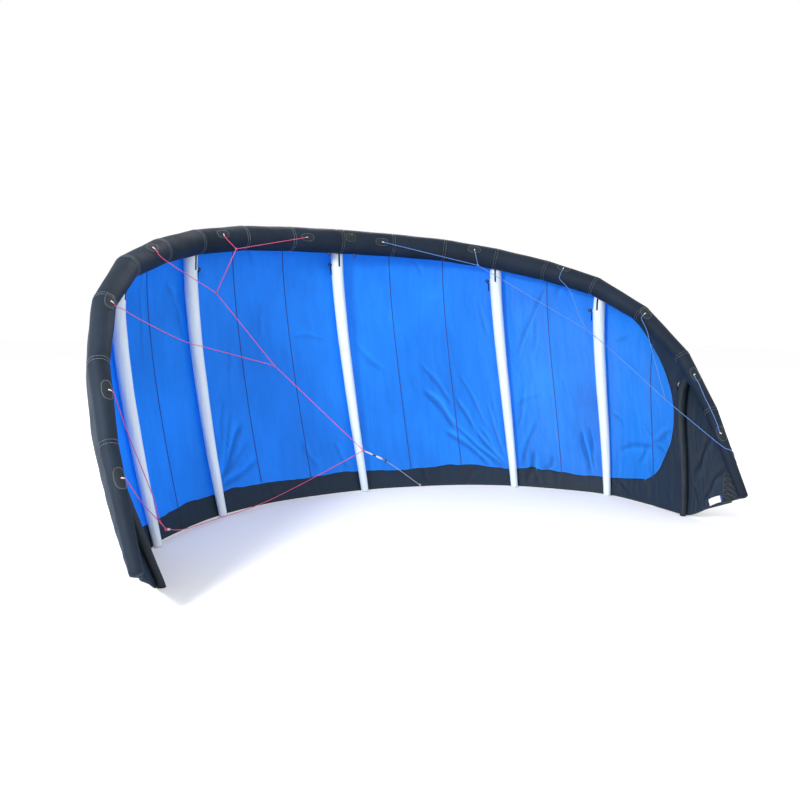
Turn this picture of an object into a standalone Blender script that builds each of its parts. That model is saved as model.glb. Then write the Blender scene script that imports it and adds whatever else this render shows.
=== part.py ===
"""Kitesurfing kite with an inflated leading edge and seven inflated struts,
standing on its trailing edge. Metres, +Z up, hollow side facing -Y."""

import math

import bmesh
import bpy
import numpy as np

# One row per seam of the leading edge, from the middle to the right-hand tip.
# The left half mirrors it. le is the centre line of the leading-edge tube and
# te the point on the trailing edge that the same chordwise seam runs to.
# rise is the share of the rib over which the cloth lifts off the tube.
# name, le_x, le_y, le_z, le_radius, te_x, te_y, te_z, rise
STATIONS = (
    ("mid", 0.00, 0.60, 2.01, 0.100, 0.00, 0.03, 0.00, 0.155),
    ("a", 0.46, 0.54, 2.00, 0.097, 0.43, -0.01, 0.00, 0.155),
    ("b", 0.89, 0.39, 1.97, 0.093, 0.85, -0.11, 0.00, 0.160),
    ("inner", 1.28, 0.16, 1.90, 0.089, 1.23, -0.30, 0.00, 0.165),
    ("c", 1.58, -0.15, 1.80, 0.084, 1.53, -0.56, 0.00, 0.180),
    ("outer", 1.83, -0.49, 1.67, 0.076, 1.76, -0.85, 0.00, 0.200),
    ("d", 2.00, -0.86, 1.45, 0.065, 1.83, -1.20, 0.00, 0.230),
    ("tip", 2.07, -1.24, 1.13, 0.055, 1.85, -1.56, 0.00, 0.300),
    ("e", 2.06, -1.55, 0.75, 0.046, 1.91, -1.71, 0.08, 0.300),
    ("end", 1.99, -1.93, 0.21, 0.032, 1.97, -1.86, 0.16, 0.550),
)
# station, radius where the strut meets the tube, radius at the foot, stations by which
# it stands towards the tip at the tube, colour
STRUTS = (
    ("mid", 0.051, 0.028, 0.00, "strut_white"),
    ("inner", 0.050, 0.028, 0.00, "strut_white"),
    ("outer", 0.049, 0.027, 0.15, "strut_white"),
    ("tip", 0.036, 0.022, 0.30, "strut_black"),
)
# station coordinate, share of the rib where the blue cloth meets the black band
BAND = ((0.0, 0.942), (5.0, 0.937), (5.5, 0.920), (5.9, 0.900))
# share of the rib, station coordinate of the rounded outer end of the blue cloth
BLUE_END = (
    (0.02, 5.03),
    (0.07, 5.45),
    (0.12, 5.85),
    (0.14, 6.03),
    (0.18, 6.30),
    (0.25, 6.63),
    (0.34, 6.85),
    (0.44, 6.91),
    (0.54, 6.86),
    (0.65, 6.72),
    (0.75, 6.48),
    (0.84, 6.18),
    (0.88, 6.03),
    (0.90, 5.90),
)
# Places where the bridle lines are knotted together or led, as x, y, z.
KNOTS = {
    "upper_l": (-0.98, 0.19, 1.87),
    "middle_l": (-1.16, 0.06, 1.54),
    "lower_l": (-0.72, 0.09, 1.01),
    "front_l": (-0.04, -0.05, 0.34),
    "rear_l": (-1.685, -0.855, 0.10),
    "upper_r": (1.03, 0.05, 1.83),
    "middle_r": (1.70, -0.57, 1.31),
    "lower_r": (1.90, -1.26, 0.81),
}
# The knots that a line bends round on its way; the rear one is a loop of its own.
BENDS = ("upper_l", "middle_l", "lower_l", "upper_r", "middle_r", "lower_r")
# The right-hand front line goes over the tube near the tip, and ends behind it.
OVER_TIP = tuple((8.48 + 0.01 * i, 150 - 16 * i) for i in range(6))
# name, colour, start, route between, end. A start or end is a knot's name or a
# place on the tube: station coordinate, clock angle from the outer face.
BRIDLE = (
    (
        "line_front_l",
        "line_pink",
        (0.75, 188),
        ("upper_l", "middle_l", "lower_l"),
        "front_l",
    ),
    ("line_second_l", "line_pink", (2.57, 163), (), "upper_l"),
    ("line_third_l", "line_pink", (4.40, 135), (), "middle_l"),
    (
        "line_fourth_l",
        "line_pink",
        (6.10, 145),
        (
            (-1.91, -0.84, 1.42),
            (-1.79, -0.64, 1.36),
            (-1.43, -0.24, 1.20),
            (-1.28, -0.12, 1.16),
        ),
        "lower_l",
    ),
    (
        "line_cross_l",
        "line_pink",
        "front_l",
        (
            (-0.51, -0.10, 0.15),
            (-0.84, -0.19, 0.05),
            (-1.05, -0.29, 0.02),
            (-1.30, -0.46, 0.02),
            (-1.54, -0.65, 0.03),
        ),
        "rear_l",
    ),
    (
        "line_rear_l",
        "line_pink",
        (7.40, 140),
        (
            (-1.92, -1.10, 0.74),
            (-1.83, -1.00, 0.50),
            (-1.76, -0.92, 0.31),
            (-1.71, -0.84, 0.14),
            (-1.69, -0.84, 0.11),
            "rear_l",
            (-1.69, -0.87, 0.11),
            (-1.71, -0.90, 0.14),
            (-1.85, -1.15, 0.34),
        ),
        (8.30, 130),
    ),
    (
        "line_leader",
        "line_grey",
        "front_l",
        ((0.16, -0.05, 0.24),),
        (0.47, -0.05, 0.02),
    ),
    (
        "line_front_r",
        "line_blue",
        (0.75, 188),
        (
            "upper_r",
            (1.38, -0.27, 1.56),
            "middle_r",
            (1.76, -0.76, 1.18),
            "lower_r",
            (1.95, -1.48, 0.67),
            *OVER_TIP,
        ),
        (8.55, 52),
    ),
    ("line_second_r", "line_blue", (2.57, 163), (), "upper_r"),
    (
        "line_third_r",
        "line_blue",
        (4.35, 135),
        ((1.66, -0.37, 1.64), (1.69, -0.49, 1.41)),
        "middle_r",
    ),
    (
        "line_fourth_r",
        "line_blue",
        (6.10, 150),
        ((1.95, -0.98, 1.32), (1.95, -1.03, 1.20)),
        "lower_r",
    ),
    (
        "line_rear_r",
        "line_blue",
        (7.40, 140),
        ((7.55, 150), (7.80, 158), (8.00, 158), (8.20, 150)),
        (8.30, 138),
    ),
)
# The corners of the plain label on the right-hand tip, as (u, v) of canopy().
LABEL = ((8.00, 0.925), (8.43, 0.860), (8.08, 0.985), (8.52, 0.955))
LABEL_FACES = (0.0008, 0.0018)
LINE_DIAMETER = 0.005
LINE_STEP = 0.06
LINE_GAP = 0.0005
# A line on the tube lies this far over the tube's facets.
LINE_LIFT = 0.0012
KNOT_BEND = 0.030
WRAP_STEP = 14
WRAP_LIMIT = 250
WRAP_SAMPLES = 60
WRAP_TOLERANCE = 0.0002
GAP = 0.0003
SHORT_RIB = 1.6
# Half gaps in the rib's share and in the station coordinate.
BAND_SLACK = 0.5 * GAP / SHORT_RIB
CURVE_SLACK = 0.0012
CLOTH = 0.0020
CLOTH_OFF_TUBE = 0.0006
STRUT_OFF_CLOTH = 0.0005
LEAN_OFF_CLOTH = 0.006
STRUT_TAPER = 1.5
STRUT_TAIL = 0.08
RIB_STEPS = (0.0,) + tuple(row[0] for row in BLUE_END[:-1])
TIP_STEPS = RIB_STEPS + (0.90, 0.97, 1.0)
STRUT_STEPS = (0.07, 0.14, 0.25, 0.34, 0.44, 0.54, 0.65, 0.75, 0.84, 0.94, 1.0)
TUBE_SIDES = 24
STRUT_SIDES = 16
TAKEOFF = math.radians(32.0)
REAR_SLOPE = math.radians(9.5)
REAR_HANDLE = 0.38
SHARP_CLOTH = 35.0
SHARP_TUBE = 40.0
# The tables measure y from the foot of the middle strut; the origin lies
# under the middle of the whole kite.
ORIGIN_SHIFT = np.array((0.0, 0.623, 0.0))
INDEX = {row[0]: k for k, row in enumerate(STATIONS)}

# name, colour, roughness
MATERIALS = {
    "tube_black": ((0.030, 0.040, 0.052), 0.62),
    "strut_white": ((0.760, 0.850, 0.930), 0.50),
    "strut_black": ((0.020, 0.028, 0.036), 0.62),
    "canopy_blue": ((0.015, 0.125, 0.720), 0.42),
    "canopy_black": ((0.016, 0.024, 0.034), 0.50),
    "line_pink": ((0.800, 0.060, 0.200), 0.60),
    "line_blue": ((0.060, 0.200, 0.620), 0.60),
    "line_grey": ((0.420, 0.450, 0.500), 0.60),
    "label_white": ((0.800, 0.800, 0.780), 0.60),
}


def unit(vector):
    return vector / np.linalg.norm(vector)


def material(name):
    made = bpy.data.materials.get(name)
    if made:
        return made
    colour, roughness = MATERIALS[name]
    made = bpy.data.materials.new(name)
    made.use_nodes = True
    shader = made.node_tree.nodes["Principled BSDF"]
    shader.inputs["Base Color"].default_value = (*colour, 1.0)
    shader.inputs["Roughness"].default_value = roughness
    shader.inputs["Metallic"].default_value = 0.0
    return made


def new_object(name, points, faces, material_name, side=1):
    """A closed mesh; the left half is the right half mirrored in x."""
    points = np.array(points, float)
    if side < 0:
        points = points * (-1.0, 1.0, 1.0)
    mesh = bpy.data.meshes.new(name)
    mesh.from_pydata([tuple(p) for p in points], [], faces)
    work = bmesh.new()
    work.from_mesh(mesh)
    bmesh.ops.recalc_face_normals(work, faces=work.faces)
    work.to_mesh(mesh)
    work.free()
    mesh.materials.append(material(material_name))
    made = bpy.data.objects.new(name, mesh)
    bpy.context.scene.collection.objects.link(made)
    return made


def smooth_by_angle(made, degrees):
    for polygon in made.data.polygons:
        polygon.use_smooth = True
    limit = math.radians(degrees)
    work = bmesh.new()
    work.from_mesh(made.data)
    for edge in work.edges:
        edge.smooth = len(edge.link_faces) == 2 and edge.calc_face_angle(0.0) < limit
    work.to_mesh(made.data)
    work.free()


def le_point(k):
    return np.array(STATIONS[k][1:4]) + ORIGIN_SHIFT


def te_point(k):
    return np.array(STATIONS[k][5:8]) + ORIGIN_SHIFT


def frame_at(k):
    """Tube direction, direction aft square to the tube, outward normal."""
    ahead = le_point(min(k + 1, len(STATIONS) - 1))
    behind = le_point(k - 1) if k else le_point(1) * (-1.0, 1.0, 1.0)
    along = unit(ahead - behind)
    normal = unit(np.cross(along, te_point(k) - le_point(k)))
    aft = unit(np.cross(normal, along))
    return along, aft, normal


def seam_direction(k):
    """The run of the trailing edge past the foot of rib k."""
    ahead = te_point(min(k + 1, len(STATIONS) - 1))
    behind = te_point(k - 1) if k else te_point(1) * (-1.0, 1.0, 1.0)
    return unit(ahead - behind)


def rib(k, v):
    """Hollow-side point and outward normal on rib k, v from tube to trailing edge."""
    along, aft, normal = frame_at(k)
    radius = STATIONS[k][4] + CLOTH_OFF_TUBE
    start = le_point(k) + radius * (math.cos(TAKEOFF) * normal - math.sin(TAKEOFF) * aft)
    end = te_point(k)
    chord = np.linalg.norm(end - le_point(k))
    down = unit(end - le_point(k))
    front = STATIONS[k][8] * chord * (math.cos(TAKEOFF) * aft + math.sin(TAKEOFF) * normal)
    rear = REAR_HANDLE * chord * (math.sin(REAR_SLOPE) * normal - math.cos(REAR_SLOPE) * down)
    a, b, c, d = start, start + front, end + rear, end
    w = 1.0 - v
    point = w**3 * a + 3 * w * w * v * b + 3 * w * v * v * c + v**3 * d
    slope = 3 * w * w * (b - a) + 6 * w * v * (c - b) + 3 * v * v * (d - c)
    across = w * along + v * seam_direction(k)
    return point, unit(np.cross(across, slope))


def canopy(u, v):
    """Hollow-side point and outward normal of the canopy, straight between ribs."""
    k = min(int(u), len(STATIONS) - 2)
    share = u - k
    p0, n0 = rib(k, v)
    p1, n1 = rib(k + 1, v)
    return p0 + share * (p1 - p0), unit(n0 + share * (n1 - n0))


def sheet(name, rows, side, material_name):
    """A cloth panel of even thickness from rows of (u, v) pairs."""
    front = []
    back = []
    for row in rows:
        for u, v in row:
            point, normal = canopy(u, v)
            if v == 1.0:
                normal = unit(normal * (1.0, 1.0, 0.0))
                point[2] = max(0.0, point[2])
            front.append(point)
            back.append(point + CLOTH * normal)
    wide = len(rows[0])
    tall = len(rows)
    shift = wide * tall
    faces = []
    for i in range(tall - 1):
        for j in range(wide - 1):
            a = i * wide + j
            quad = (a, a + 1, a + 1 + wide, a + wide)
            faces.append(quad)
            faces.append(tuple(shift + q for q in reversed(quad)))
    loop = list(range(wide))
    loop += [i * wide + wide - 1 for i in range(1, tall)]
    loop += [(tall - 1) * wide + j for j in range(wide - 2, -1, -1)]
    loop += [i * wide for i in range(tall - 2, 0, -1)]
    for a, b in zip(loop, loop[1:] + loop[:1]):
        faces.append((a, b, b + shift, a + shift))
    made = new_object(name, front + back, faces, material_name, side)
    smooth_by_angle(made, SHARP_CLOTH)
    return made


def along_table(table, x):
    return float(np.interp(x, [row[0] for row in table], [row[1] for row in table]))


def side_gap(u):
    """The half gap at a seam, in station coordinates."""
    k = min(int(u), len(STATIONS) - 2)
    return 0.5 * GAP / np.linalg.norm(le_point(k + 1) - le_point(k))


def ring(k, radius, sides, shift):
    along, aft, normal = frame_at(k)
    points = []
    for i in range(sides):
        angle = TAKEOFF + 2.0 * math.pi * i / sides
        points.append(
            le_point(k)
            + shift * along
            + radius * (math.cos(angle) * normal - math.sin(angle) * aft)
        )
    return points


def loft(rings):
    """Faces of a tube through the rings, with both ends filled."""
    sides = len(rings[0])
    points = [p for one in rings for p in one]
    faces = []
    for r in range(len(rings) - 1):
        for i in range(sides):
            j = (i + 1) % sides
            a = r * sides
            faces.append((a + i, a + j, a + sides + j, a + sides + i))
    faces.append(tuple(range(sides)))
    faces.append(tuple(range((len(rings) - 1) * sides, len(rings) * sides)))
    return points, faces


def leading_edge(side, label):
    for k in range(len(STATIONS) - 1):
        rings = (
            ring(k, STATIONS[k][4], TUBE_SIDES, 0.5 * GAP),
            ring(k + 1, STATIONS[k + 1][4], TUBE_SIDES, -0.5 * GAP),
        )
        made = new_object(f"le_{label}_{k + 1}", *loft(rings), "tube_black", side)
        smooth_by_angle(made, SHARP_TUBE)


def tube_cutter(k):
    """The leading edge around rib k, wider by the gap, to cope a strut against."""
    rings = []
    for i in (k - 1, k, k + 1):
        points = ring(abs(i), STATIONS[abs(i)][4] + GAP, TUBE_SIDES, 0.0)
        rings.append([p * (-1.0, 1.0, 1.0) for p in points] if i < 0 else points)
    return rings


def strut(row, side, name):
    station, top, foot, lean, colour = row
    k = INDEX[station]
    centres = []
    radii = []
    for v in STRUT_STEPS:
        point, outward = canopy(k + lean * (1.0 - v), v)
        radius = top + (foot - top) * v**STRUT_TAPER
        # The cloth curves towards the strut at its foot, so the strut stands off more there.
        standoff = (1.01 + 0.03 * v * v) * radius + STRUT_OFF_CLOTH + LEAN_OFF_CLOTH * lean
        centres.append(point - standoff * outward)
        radii.append(radius)
    tail = unit(centres[-1] - centres[-2])
    centres.append(centres[-1] + STRUT_TAIL * tail)
    radii.append(radii[-1])
    rings = []
    for i, centre in enumerate(centres):
        ahead = centres[min(i + 1, len(centres) - 1)]
        behind = centres[max(i - 1, 0)]
        tangent = unit(ahead - behind)
        out = unit(np.cross(tangent, frame_at(k)[0]))
        across = np.cross(tangent, out)
        turns = [2.0 * math.pi * j / STRUT_SIDES for j in range(STRUT_SIDES)]
        rings.append([centre + radii[i] * (math.cos(t) * out + math.sin(t) * across) for t in turns])
    made = new_object(name, *loft(rings), colour, side)
    work = bmesh.new()
    work.from_mesh(made.data)
    cut = bmesh.ops.bisect_plane(
        work,
        geom=work.verts[:] + work.edges[:] + work.faces[:],
        dist=1e-6,
        plane_co=(0.0, 0.0, 0.0),
        plane_no=(0.0, 0.0, -1.0),
        clear_outer=True,
    )
    rim = [e for e in cut["geom_cut"] if isinstance(e, bmesh.types.BMEdge)]
    bmesh.ops.contextual_create(work, geom=rim)
    for vertex in work.verts:
        if abs(vertex.co.z) < 1e-5:
            vertex.co.z = 0.0
    bmesh.ops.recalc_face_normals(work, faces=work.faces)
    work.to_mesh(made.data)
    work.free()
    cutter = new_object(name + "_cutter", *loft(tube_cutter(k)), colour, side)
    cutter.hide_render = True
    cutter.display_type = "WIRE"
    cope = made.modifiers.new("cope", "BOOLEAN")
    cope.operation = "DIFFERENCE"
    cope.solver = "EXACT"
    cope.object = cutter
    smooth_by_angle(made, SHARP_TUBE)


def band_height(u):
    return along_table(BAND, u)


def blue_limit(v):
    return along_table(BLUE_END, v)


def spread(low, high, shares):
    return [low + share * (high - low) for share in shares]


def blue_panels(side, label):
    for k in range(5):
        slack = side_gap(k)
        places = (k + slack, k + 0.5, k + 1 - slack)
        rows = [[(u, v) for u in places] for v in RIB_STEPS]
        rows.append([(u, band_height(u) - BAND_SLACK) for u in places])
        sheet(f"blue_{label}_{k + 1}", rows, side, "canopy_blue")
    slack = side_gap(5)
    thirds = (0.0, 0.5, 1.0)
    inner = []
    outer = []
    for v, end in BLUE_END[:-1]:
        reach = end - CURVE_SLACK
        inner.append([(u, v) for u in spread(5.0 + slack, min(reach, 6.0 - slack), thirds)])
        if end > 6.0:
            outer.append([(u, v) for u in spread(6.0 + slack, reach, thirds)])
    bottom, meet = BLUE_END[-1]
    places = spread(5.0 + slack, meet - CURVE_SLACK, thirds)
    heights = spread(band_height(5.0) - BAND_SLACK, bottom - BAND_SLACK, thirds)
    inner.append(list(zip(places, heights)))
    sheet(f"blue_{label}_6", inner, side, "canopy_blue")
    sheet(f"blue_{label}_7", outer, side, "canopy_blue")


def trailing_band(side, label):
    """The black band along the trailing edge, in two lengths a side."""
    lengths = (
        (0.0, 0.5, 1.0, 1.5, 2.0, 2.5, 3.0),
        (3.0, 3.5, 4.0, 4.5, 5.0, 5.5, BLUE_END[-1][1]),
    )
    for number, stops in enumerate(lengths, start=1):
        places = list(stops)
        places[0] += side_gap(places[0])
        places[-1] -= side_gap(places[-1] - 0.01)
        rows = [[(u, band_height(u) + BAND_SLACK) for u in places]]
        rows += [[(u, v) for u in places] for v in (0.97, 1.0)]
        sheet(f"band_{label}_{number}", rows, side, "canopy_black")


def tip_panels(side, label):
    """The black cloth round the end of the blue, and the cloth outside the last strut."""
    slack = side_gap(6)
    quarters = (0.0, 0.25, 0.5, 0.75, 1.0)
    rows = []
    for v in TIP_STEPS:
        edge = blue_limit(v) + (CURVE_SLACK if v < BLUE_END[-1][0] else slack)
        if v == 0.0:
            edge = 5.0 + slack
        rows.append([(u, v) for u in spread(edge, 7.0 - slack, quarters)])
    sheet(f"tip_{label}_inner", rows, side, "canopy_black")
    places = (7.0 + slack, 7.33, 7.67, 8.0, 8.33, 8.67, 9.0)
    rows = [[(u, v) for u in places] for v in TIP_STEPS]
    sheet(f"tip_{label}_outer", rows, side, "canopy_black")


def sewn_label():
    """A plain white label on the hollow side of the right-hand tip."""
    corners = np.array(LABEL)
    points = []
    for lift in LABEL_FACES:
        for h in (0.0, 0.5, 1.0):
            for s in (0.0, 0.5, 1.0):
                upper = corners[0] + s * (corners[1] - corners[0])
                lower = corners[2] + s * (corners[3] - corners[2])
                u, v = upper + h * (lower - upper)
                point, normal = canopy(u, v)
                points.append(point - lift * normal)
    faces = []
    for i in (0, 1):
        for j in (0, 1):
            a = 3 * i + j
            quad = (a, a + 1, a + 4, a + 3)
            faces.append(quad)
            faces.append(tuple(9 + q for q in reversed(quad)))
    loop = (0, 1, 2, 5, 8, 7, 6, 3)
    for a, b in zip(loop, loop[1:] + loop[:1]):
        faces.append((a, b, b + 9, a + 9))
    new_object("label_r", points, faces, "label_white")


def tube_place(u, clock, side, lift):
    """A point over the leading-edge tube, and the direction out of the tube there."""
    k = min(int(u), len(STATIONS) - 2)
    share = u - k
    ends = []
    for i in (k, k + 1):
        along, aft, normal = frame_at(i)
        angle = math.radians(clock)
        out = math.cos(angle) * normal - math.sin(angle) * aft
        ends.append((le_point(i) + (STATIONS[i][4] + lift) * out, out))
    point = ends[0][0] + share * (ends[1][0] - ends[0][0])
    out = unit(ends[0][1] + share * (ends[1][1] - ends[0][1]))
    flip = np.array((side, 1.0, 1.0))
    return point * flip, out * flip


def over_tube(point, target, side):
    """How far a straight run stays outside the leading-edge tube, less where it starts."""
    flip = np.array((side, 1.0, 1.0))
    run = point + np.linspace(0.0, 1.0, WRAP_SAMPLES)[:, None] * (target - point)
    nearest = np.full(len(run), np.inf)
    for k in range(len(STATIONS) - 1):
        a = le_point(k) * flip
        b = le_point(k + 1) * flip
        share = np.clip((run - a) @ (b - a) / ((b - a) @ (b - a)), 0.0, 1.0)
        radius = STATIONS[k][4] + share * (STATIONS[k + 1][4] - STATIONS[k][4])
        away = np.linalg.norm(run - a - share[:, None] * (b - a), axis=1) - radius
        nearest = np.minimum(nearest, away)
    return nearest.min() - nearest[0]


def is_on_tube(place):
    return not isinstance(place, str) and len(place) == 2


def line_point(place, side):
    """A place in the bridle table as a point: a knot, a point, or a place on the tube."""
    if isinstance(place, str):
        return np.array(KNOTS[place]) + ORIGIN_SHIFT
    if is_on_tube(place):
        return tube_place(*place, side, 0.5 * LINE_DIAMETER + LINE_LIFT)[0]
    return np.array(place) + ORIGIN_SHIFT


def round_tube(place, target, side):
    """Points that lead a line round the tube from where it is sewn on, until it is free."""
    u, clock = place
    points = []
    here = line_point(place, side)
    while clock < WRAP_LIMIT and over_tube(here, target, side) < -WRAP_TOLERANCE:
        clock += WRAP_STEP
        here = line_point((u, clock), side)
        points.append(here)
    return points


def tied_on(knot):
    """The line that a knot is tied on: the one that runs through it, or else the first to end there."""
    rows = sorted(BRIDLE, key=lambda row: knot not in row[3])
    return next(row for row in rows if knot in (*row[3], row[4]))


def line_rays(knot, side):
    """Directions in which the line that a knot is tied on runs away from that knot."""
    row = tied_on(knot)
    stops = (row[2], *row[3], row[4])
    i = stops.index(knot)
    here = line_point(knot, side)
    return [unit(line_point(stop, side) - here) for stop in stops[i - 1 : i + 2] if stop != knot]


def knot_reach(knot, away, side):
    """How far from a knot a line tied on there stops, to lie a gap off the line it meets."""
    radius = 0.5 * LINE_DIAMETER
    reach = []
    for ray in line_rays(knot, side):
        along = float(away @ ray)
        across = math.sqrt(1.0 - along**2)
        if along > 0.0:
            reach.append((radius + LINE_GAP + radius * along) / across)
        else:
            reach.append(LINE_GAP + radius * across)
    return max(reach)


def line_end(row, place, toward, side):
    """Where a line stops so that it just meets the tube or the line it is tied to."""
    point = line_point(place, side)
    away = unit(toward - point)
    if is_on_tube(place):
        base, out = tube_place(*place, side, 0.0)
        lean = math.sqrt(max(0.0, 1.0 - float(away @ out) ** 2))
        return base + (LINE_GAP + 0.5 * LINE_DIAMETER * lean) * out
    if isinstance(place, str) and tied_on(place) is not row:
        return point + knot_reach(place, away, side) * away
    return point


def smooth_route(points, step):
    """Points about a step apart along a centripetal Catmull-Rom curve."""
    points = [2 * points[0] - points[1]] + list(points) + [2 * points[-1] - points[-2]]
    route = []
    for i in range(1, len(points) - 2):
        p0, p1, p2, p3 = points[i - 1 : i + 3]
        t0 = 0.0
        t1 = t0 + math.sqrt(np.linalg.norm(p1 - p0))
        t2 = t1 + math.sqrt(np.linalg.norm(p2 - p1))
        t3 = t2 + math.sqrt(np.linalg.norm(p3 - p2))
        count = max(1, round(np.linalg.norm(p2 - p1) / step))
        for j in range(count):
            t = t1 + (t2 - t1) * j / count
            a1 = (t1 - t) / (t1 - t0) * p0 + (t - t0) / (t1 - t0) * p1
            a2 = (t2 - t) / (t2 - t1) * p1 + (t - t1) / (t2 - t1) * p2
            a3 = (t3 - t) / (t3 - t2) * p2 + (t - t2) / (t3 - t2) * p3
            b1 = (t2 - t) / (t2 - t0) * a1 + (t - t0) / (t2 - t0) * a2
            b2 = (t3 - t) / (t3 - t1) * a2 + (t - t1) / (t3 - t1) * a3
            route.append((t2 - t) / (t2 - t1) * b1 + (t - t1) / (t2 - t1) * b2)
    route.append(points[-2])
    return route


def knot_bend(point, before, after):
    """Three points that ease a line round the knot at point."""
    back = point + KNOT_BEND * unit(before - point)
    ahead = point + KNOT_BEND * unit(after - point)
    return [back, point, ahead]


def bridle_route(row):
    """The middle line of a bridle line, from one end to the other."""
    start, between, end = row[2:]
    side = 1 if row[0].endswith("_r") else -1
    stops = [line_point(place, side) for place in (start, *between, end)]
    middle = []
    for i, place in enumerate(between, start=1):
        if place in BENDS:
            middle += knot_bend(stops[i], stops[i - 1], stops[i + 1])
        else:
            middle.append(stops[i])
    if is_on_tube(start):
        middle = round_tube(start, (middle + stops[-1:])[0], side) + middle
    if is_on_tube(end):
        middle += reversed(round_tube(end, (stops[:1] + middle)[-1], side))
    first = line_end(row, start, (middle + stops[-1:])[0], side)
    last = line_end(row, end, (stops[:1] + middle)[-1], side)
    return smooth_route([first, *middle, last], LINE_STEP)


def bridle_line(row):
    name, colour = row[:2]
    route = bridle_route(row)
    curve = bpy.data.curves.new(name, "CURVE")
    curve.dimensions = "3D"
    curve.bevel_depth = 0.5 * LINE_DIAMETER
    curve.bevel_resolution = 2
    curve.use_fill_caps = True
    spline = curve.splines.new("POLY")
    spline.points.add(len(route) - 1)
    for target, point in zip(spline.points, route):
        target.co = (*point, 1.0)
    curve.materials.append(material(colour))
    made = bpy.data.objects.new(name, curve)
    bpy.context.scene.collection.objects.link(made)


def main():
    for old in list(bpy.data.objects):
        bpy.data.objects.remove(old, do_unlink=True)
    strut(STRUTS[0], 1, "strut_mid")
    for side, label in ((1, "r"), (-1, "l")):
        leading_edge(side, label)
        for row in STRUTS[1:]:
            strut(row, side, f"strut_{row[0]}_{label}")
        blue_panels(side, label)
        trailing_band(side, label)
        tip_panels(side, label)
    sewn_label()
    for row in BRIDLE:
        bridle_line(row)


main()
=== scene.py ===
"""Visual model of an inflatable kitesurfing kite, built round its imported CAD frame.
Metres, +Z up, hollow side facing -Y. Stations count from the middle of the
leading edge to each tip; a negative station lies on the left half."""

import math

import bmesh
import bpy
import numpy as np
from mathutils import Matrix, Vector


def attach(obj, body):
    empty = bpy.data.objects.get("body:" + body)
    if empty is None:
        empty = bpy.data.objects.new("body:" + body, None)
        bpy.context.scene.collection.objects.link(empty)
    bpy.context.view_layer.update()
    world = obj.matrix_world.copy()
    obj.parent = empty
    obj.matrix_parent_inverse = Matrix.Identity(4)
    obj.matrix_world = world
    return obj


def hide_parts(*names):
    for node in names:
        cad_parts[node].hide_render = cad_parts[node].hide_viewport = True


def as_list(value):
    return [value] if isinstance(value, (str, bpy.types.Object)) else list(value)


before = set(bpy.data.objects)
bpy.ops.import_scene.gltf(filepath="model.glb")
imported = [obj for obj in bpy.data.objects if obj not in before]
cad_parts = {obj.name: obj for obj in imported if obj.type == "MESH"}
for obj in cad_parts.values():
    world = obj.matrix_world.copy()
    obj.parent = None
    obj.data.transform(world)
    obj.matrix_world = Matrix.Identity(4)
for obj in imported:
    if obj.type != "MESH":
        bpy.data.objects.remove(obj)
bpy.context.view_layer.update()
NODES = sorted(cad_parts)

# Tables shared with the CAD source: the seams of the leading edge, from the middle
# to the tip, as le x, y, z, le radius, te x, te y, te z, rise.
STATIONS = np.array(
    (
        (0.00, 0.60, 2.01, 0.100, 0.00, 0.03, 0.00, 0.155),
        (0.46, 0.54, 2.00, 0.097, 0.43, -0.01, 0.00, 0.155),
        (0.89, 0.39, 1.97, 0.093, 0.85, -0.11, 0.00, 0.160),
        (1.28, 0.16, 1.90, 0.089, 1.23, -0.30, 0.00, 0.165),
        (1.58, -0.15, 1.80, 0.084, 1.53, -0.56, 0.00, 0.180),
        (1.83, -0.49, 1.67, 0.076, 1.76, -0.85, 0.00, 0.200),
        (2.00, -0.86, 1.45, 0.065, 1.83, -1.20, 0.00, 0.230),
        (2.07, -1.24, 1.13, 0.055, 1.85, -1.56, 0.00, 0.300),
        (2.06, -1.55, 0.75, 0.046, 1.91, -1.71, 0.08, 0.300),
        (1.99, -1.93, 0.21, 0.032, 1.97, -1.86, 0.16, 0.550),
    )
)
SHIFT = np.array((0.0, 0.623, 0.0))
LE = STATIONS[:, 0:3] + SHIFT
RADIUS = STATIONS[:, 3]
TE = STATIONS[:, 4:7] + SHIFT
RISE = STATIONS[:, 7]
LAST = len(STATIONS) - 1
TAKEOFF = math.radians(32.0)
REAR_SLOPE = math.radians(9.5)
REAR_HANDLE = 0.38
# station coordinate, share of the rib where the blue cloth meets the black band
BAND = ((0.0, 0.942), (5.0, 0.937), (5.5, 0.920), (5.9, 0.900))
# share of the rib, station coordinate of the rounded outer end of the blue cloth
BLUE_END = (
    (0.00, 5.00),
    (0.02, 5.03),
    (0.07, 5.45),
    (0.12, 5.85),
    (0.14, 6.03),
    (0.18, 6.30),
    (0.25, 6.63),
    (0.34, 6.85),
    (0.44, 6.91),
    (0.54, 6.86),
    (0.65, 6.72),
    (0.75, 6.50),
    (0.84, 6.30),
    (0.88, 6.10),
    (0.90, 5.90),
)
KNOTS = {
    "upper_l": (-0.98, 0.19, 1.87),
    "middle_l": (-1.16, 0.06, 1.54),
    "lower_l": (-0.72, 0.09, 1.01),
    "front_l": (-0.04, -0.05, 0.34),
    "rear_l": (-1.685, -0.855, 0.10),
    "upper_r": (1.03, 0.05, 1.83),
    "middle_r": (1.70, -0.57, 1.31),
    "lower_r": (1.90, -1.26, 0.81),
}
BENDS = ("upper_l", "middle_l", "lower_l", "upper_r", "middle_r", "lower_r")
OVER_TIP = tuple((8.48 + 0.01 * i, 150 - 16 * i) for i in range(6))
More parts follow.
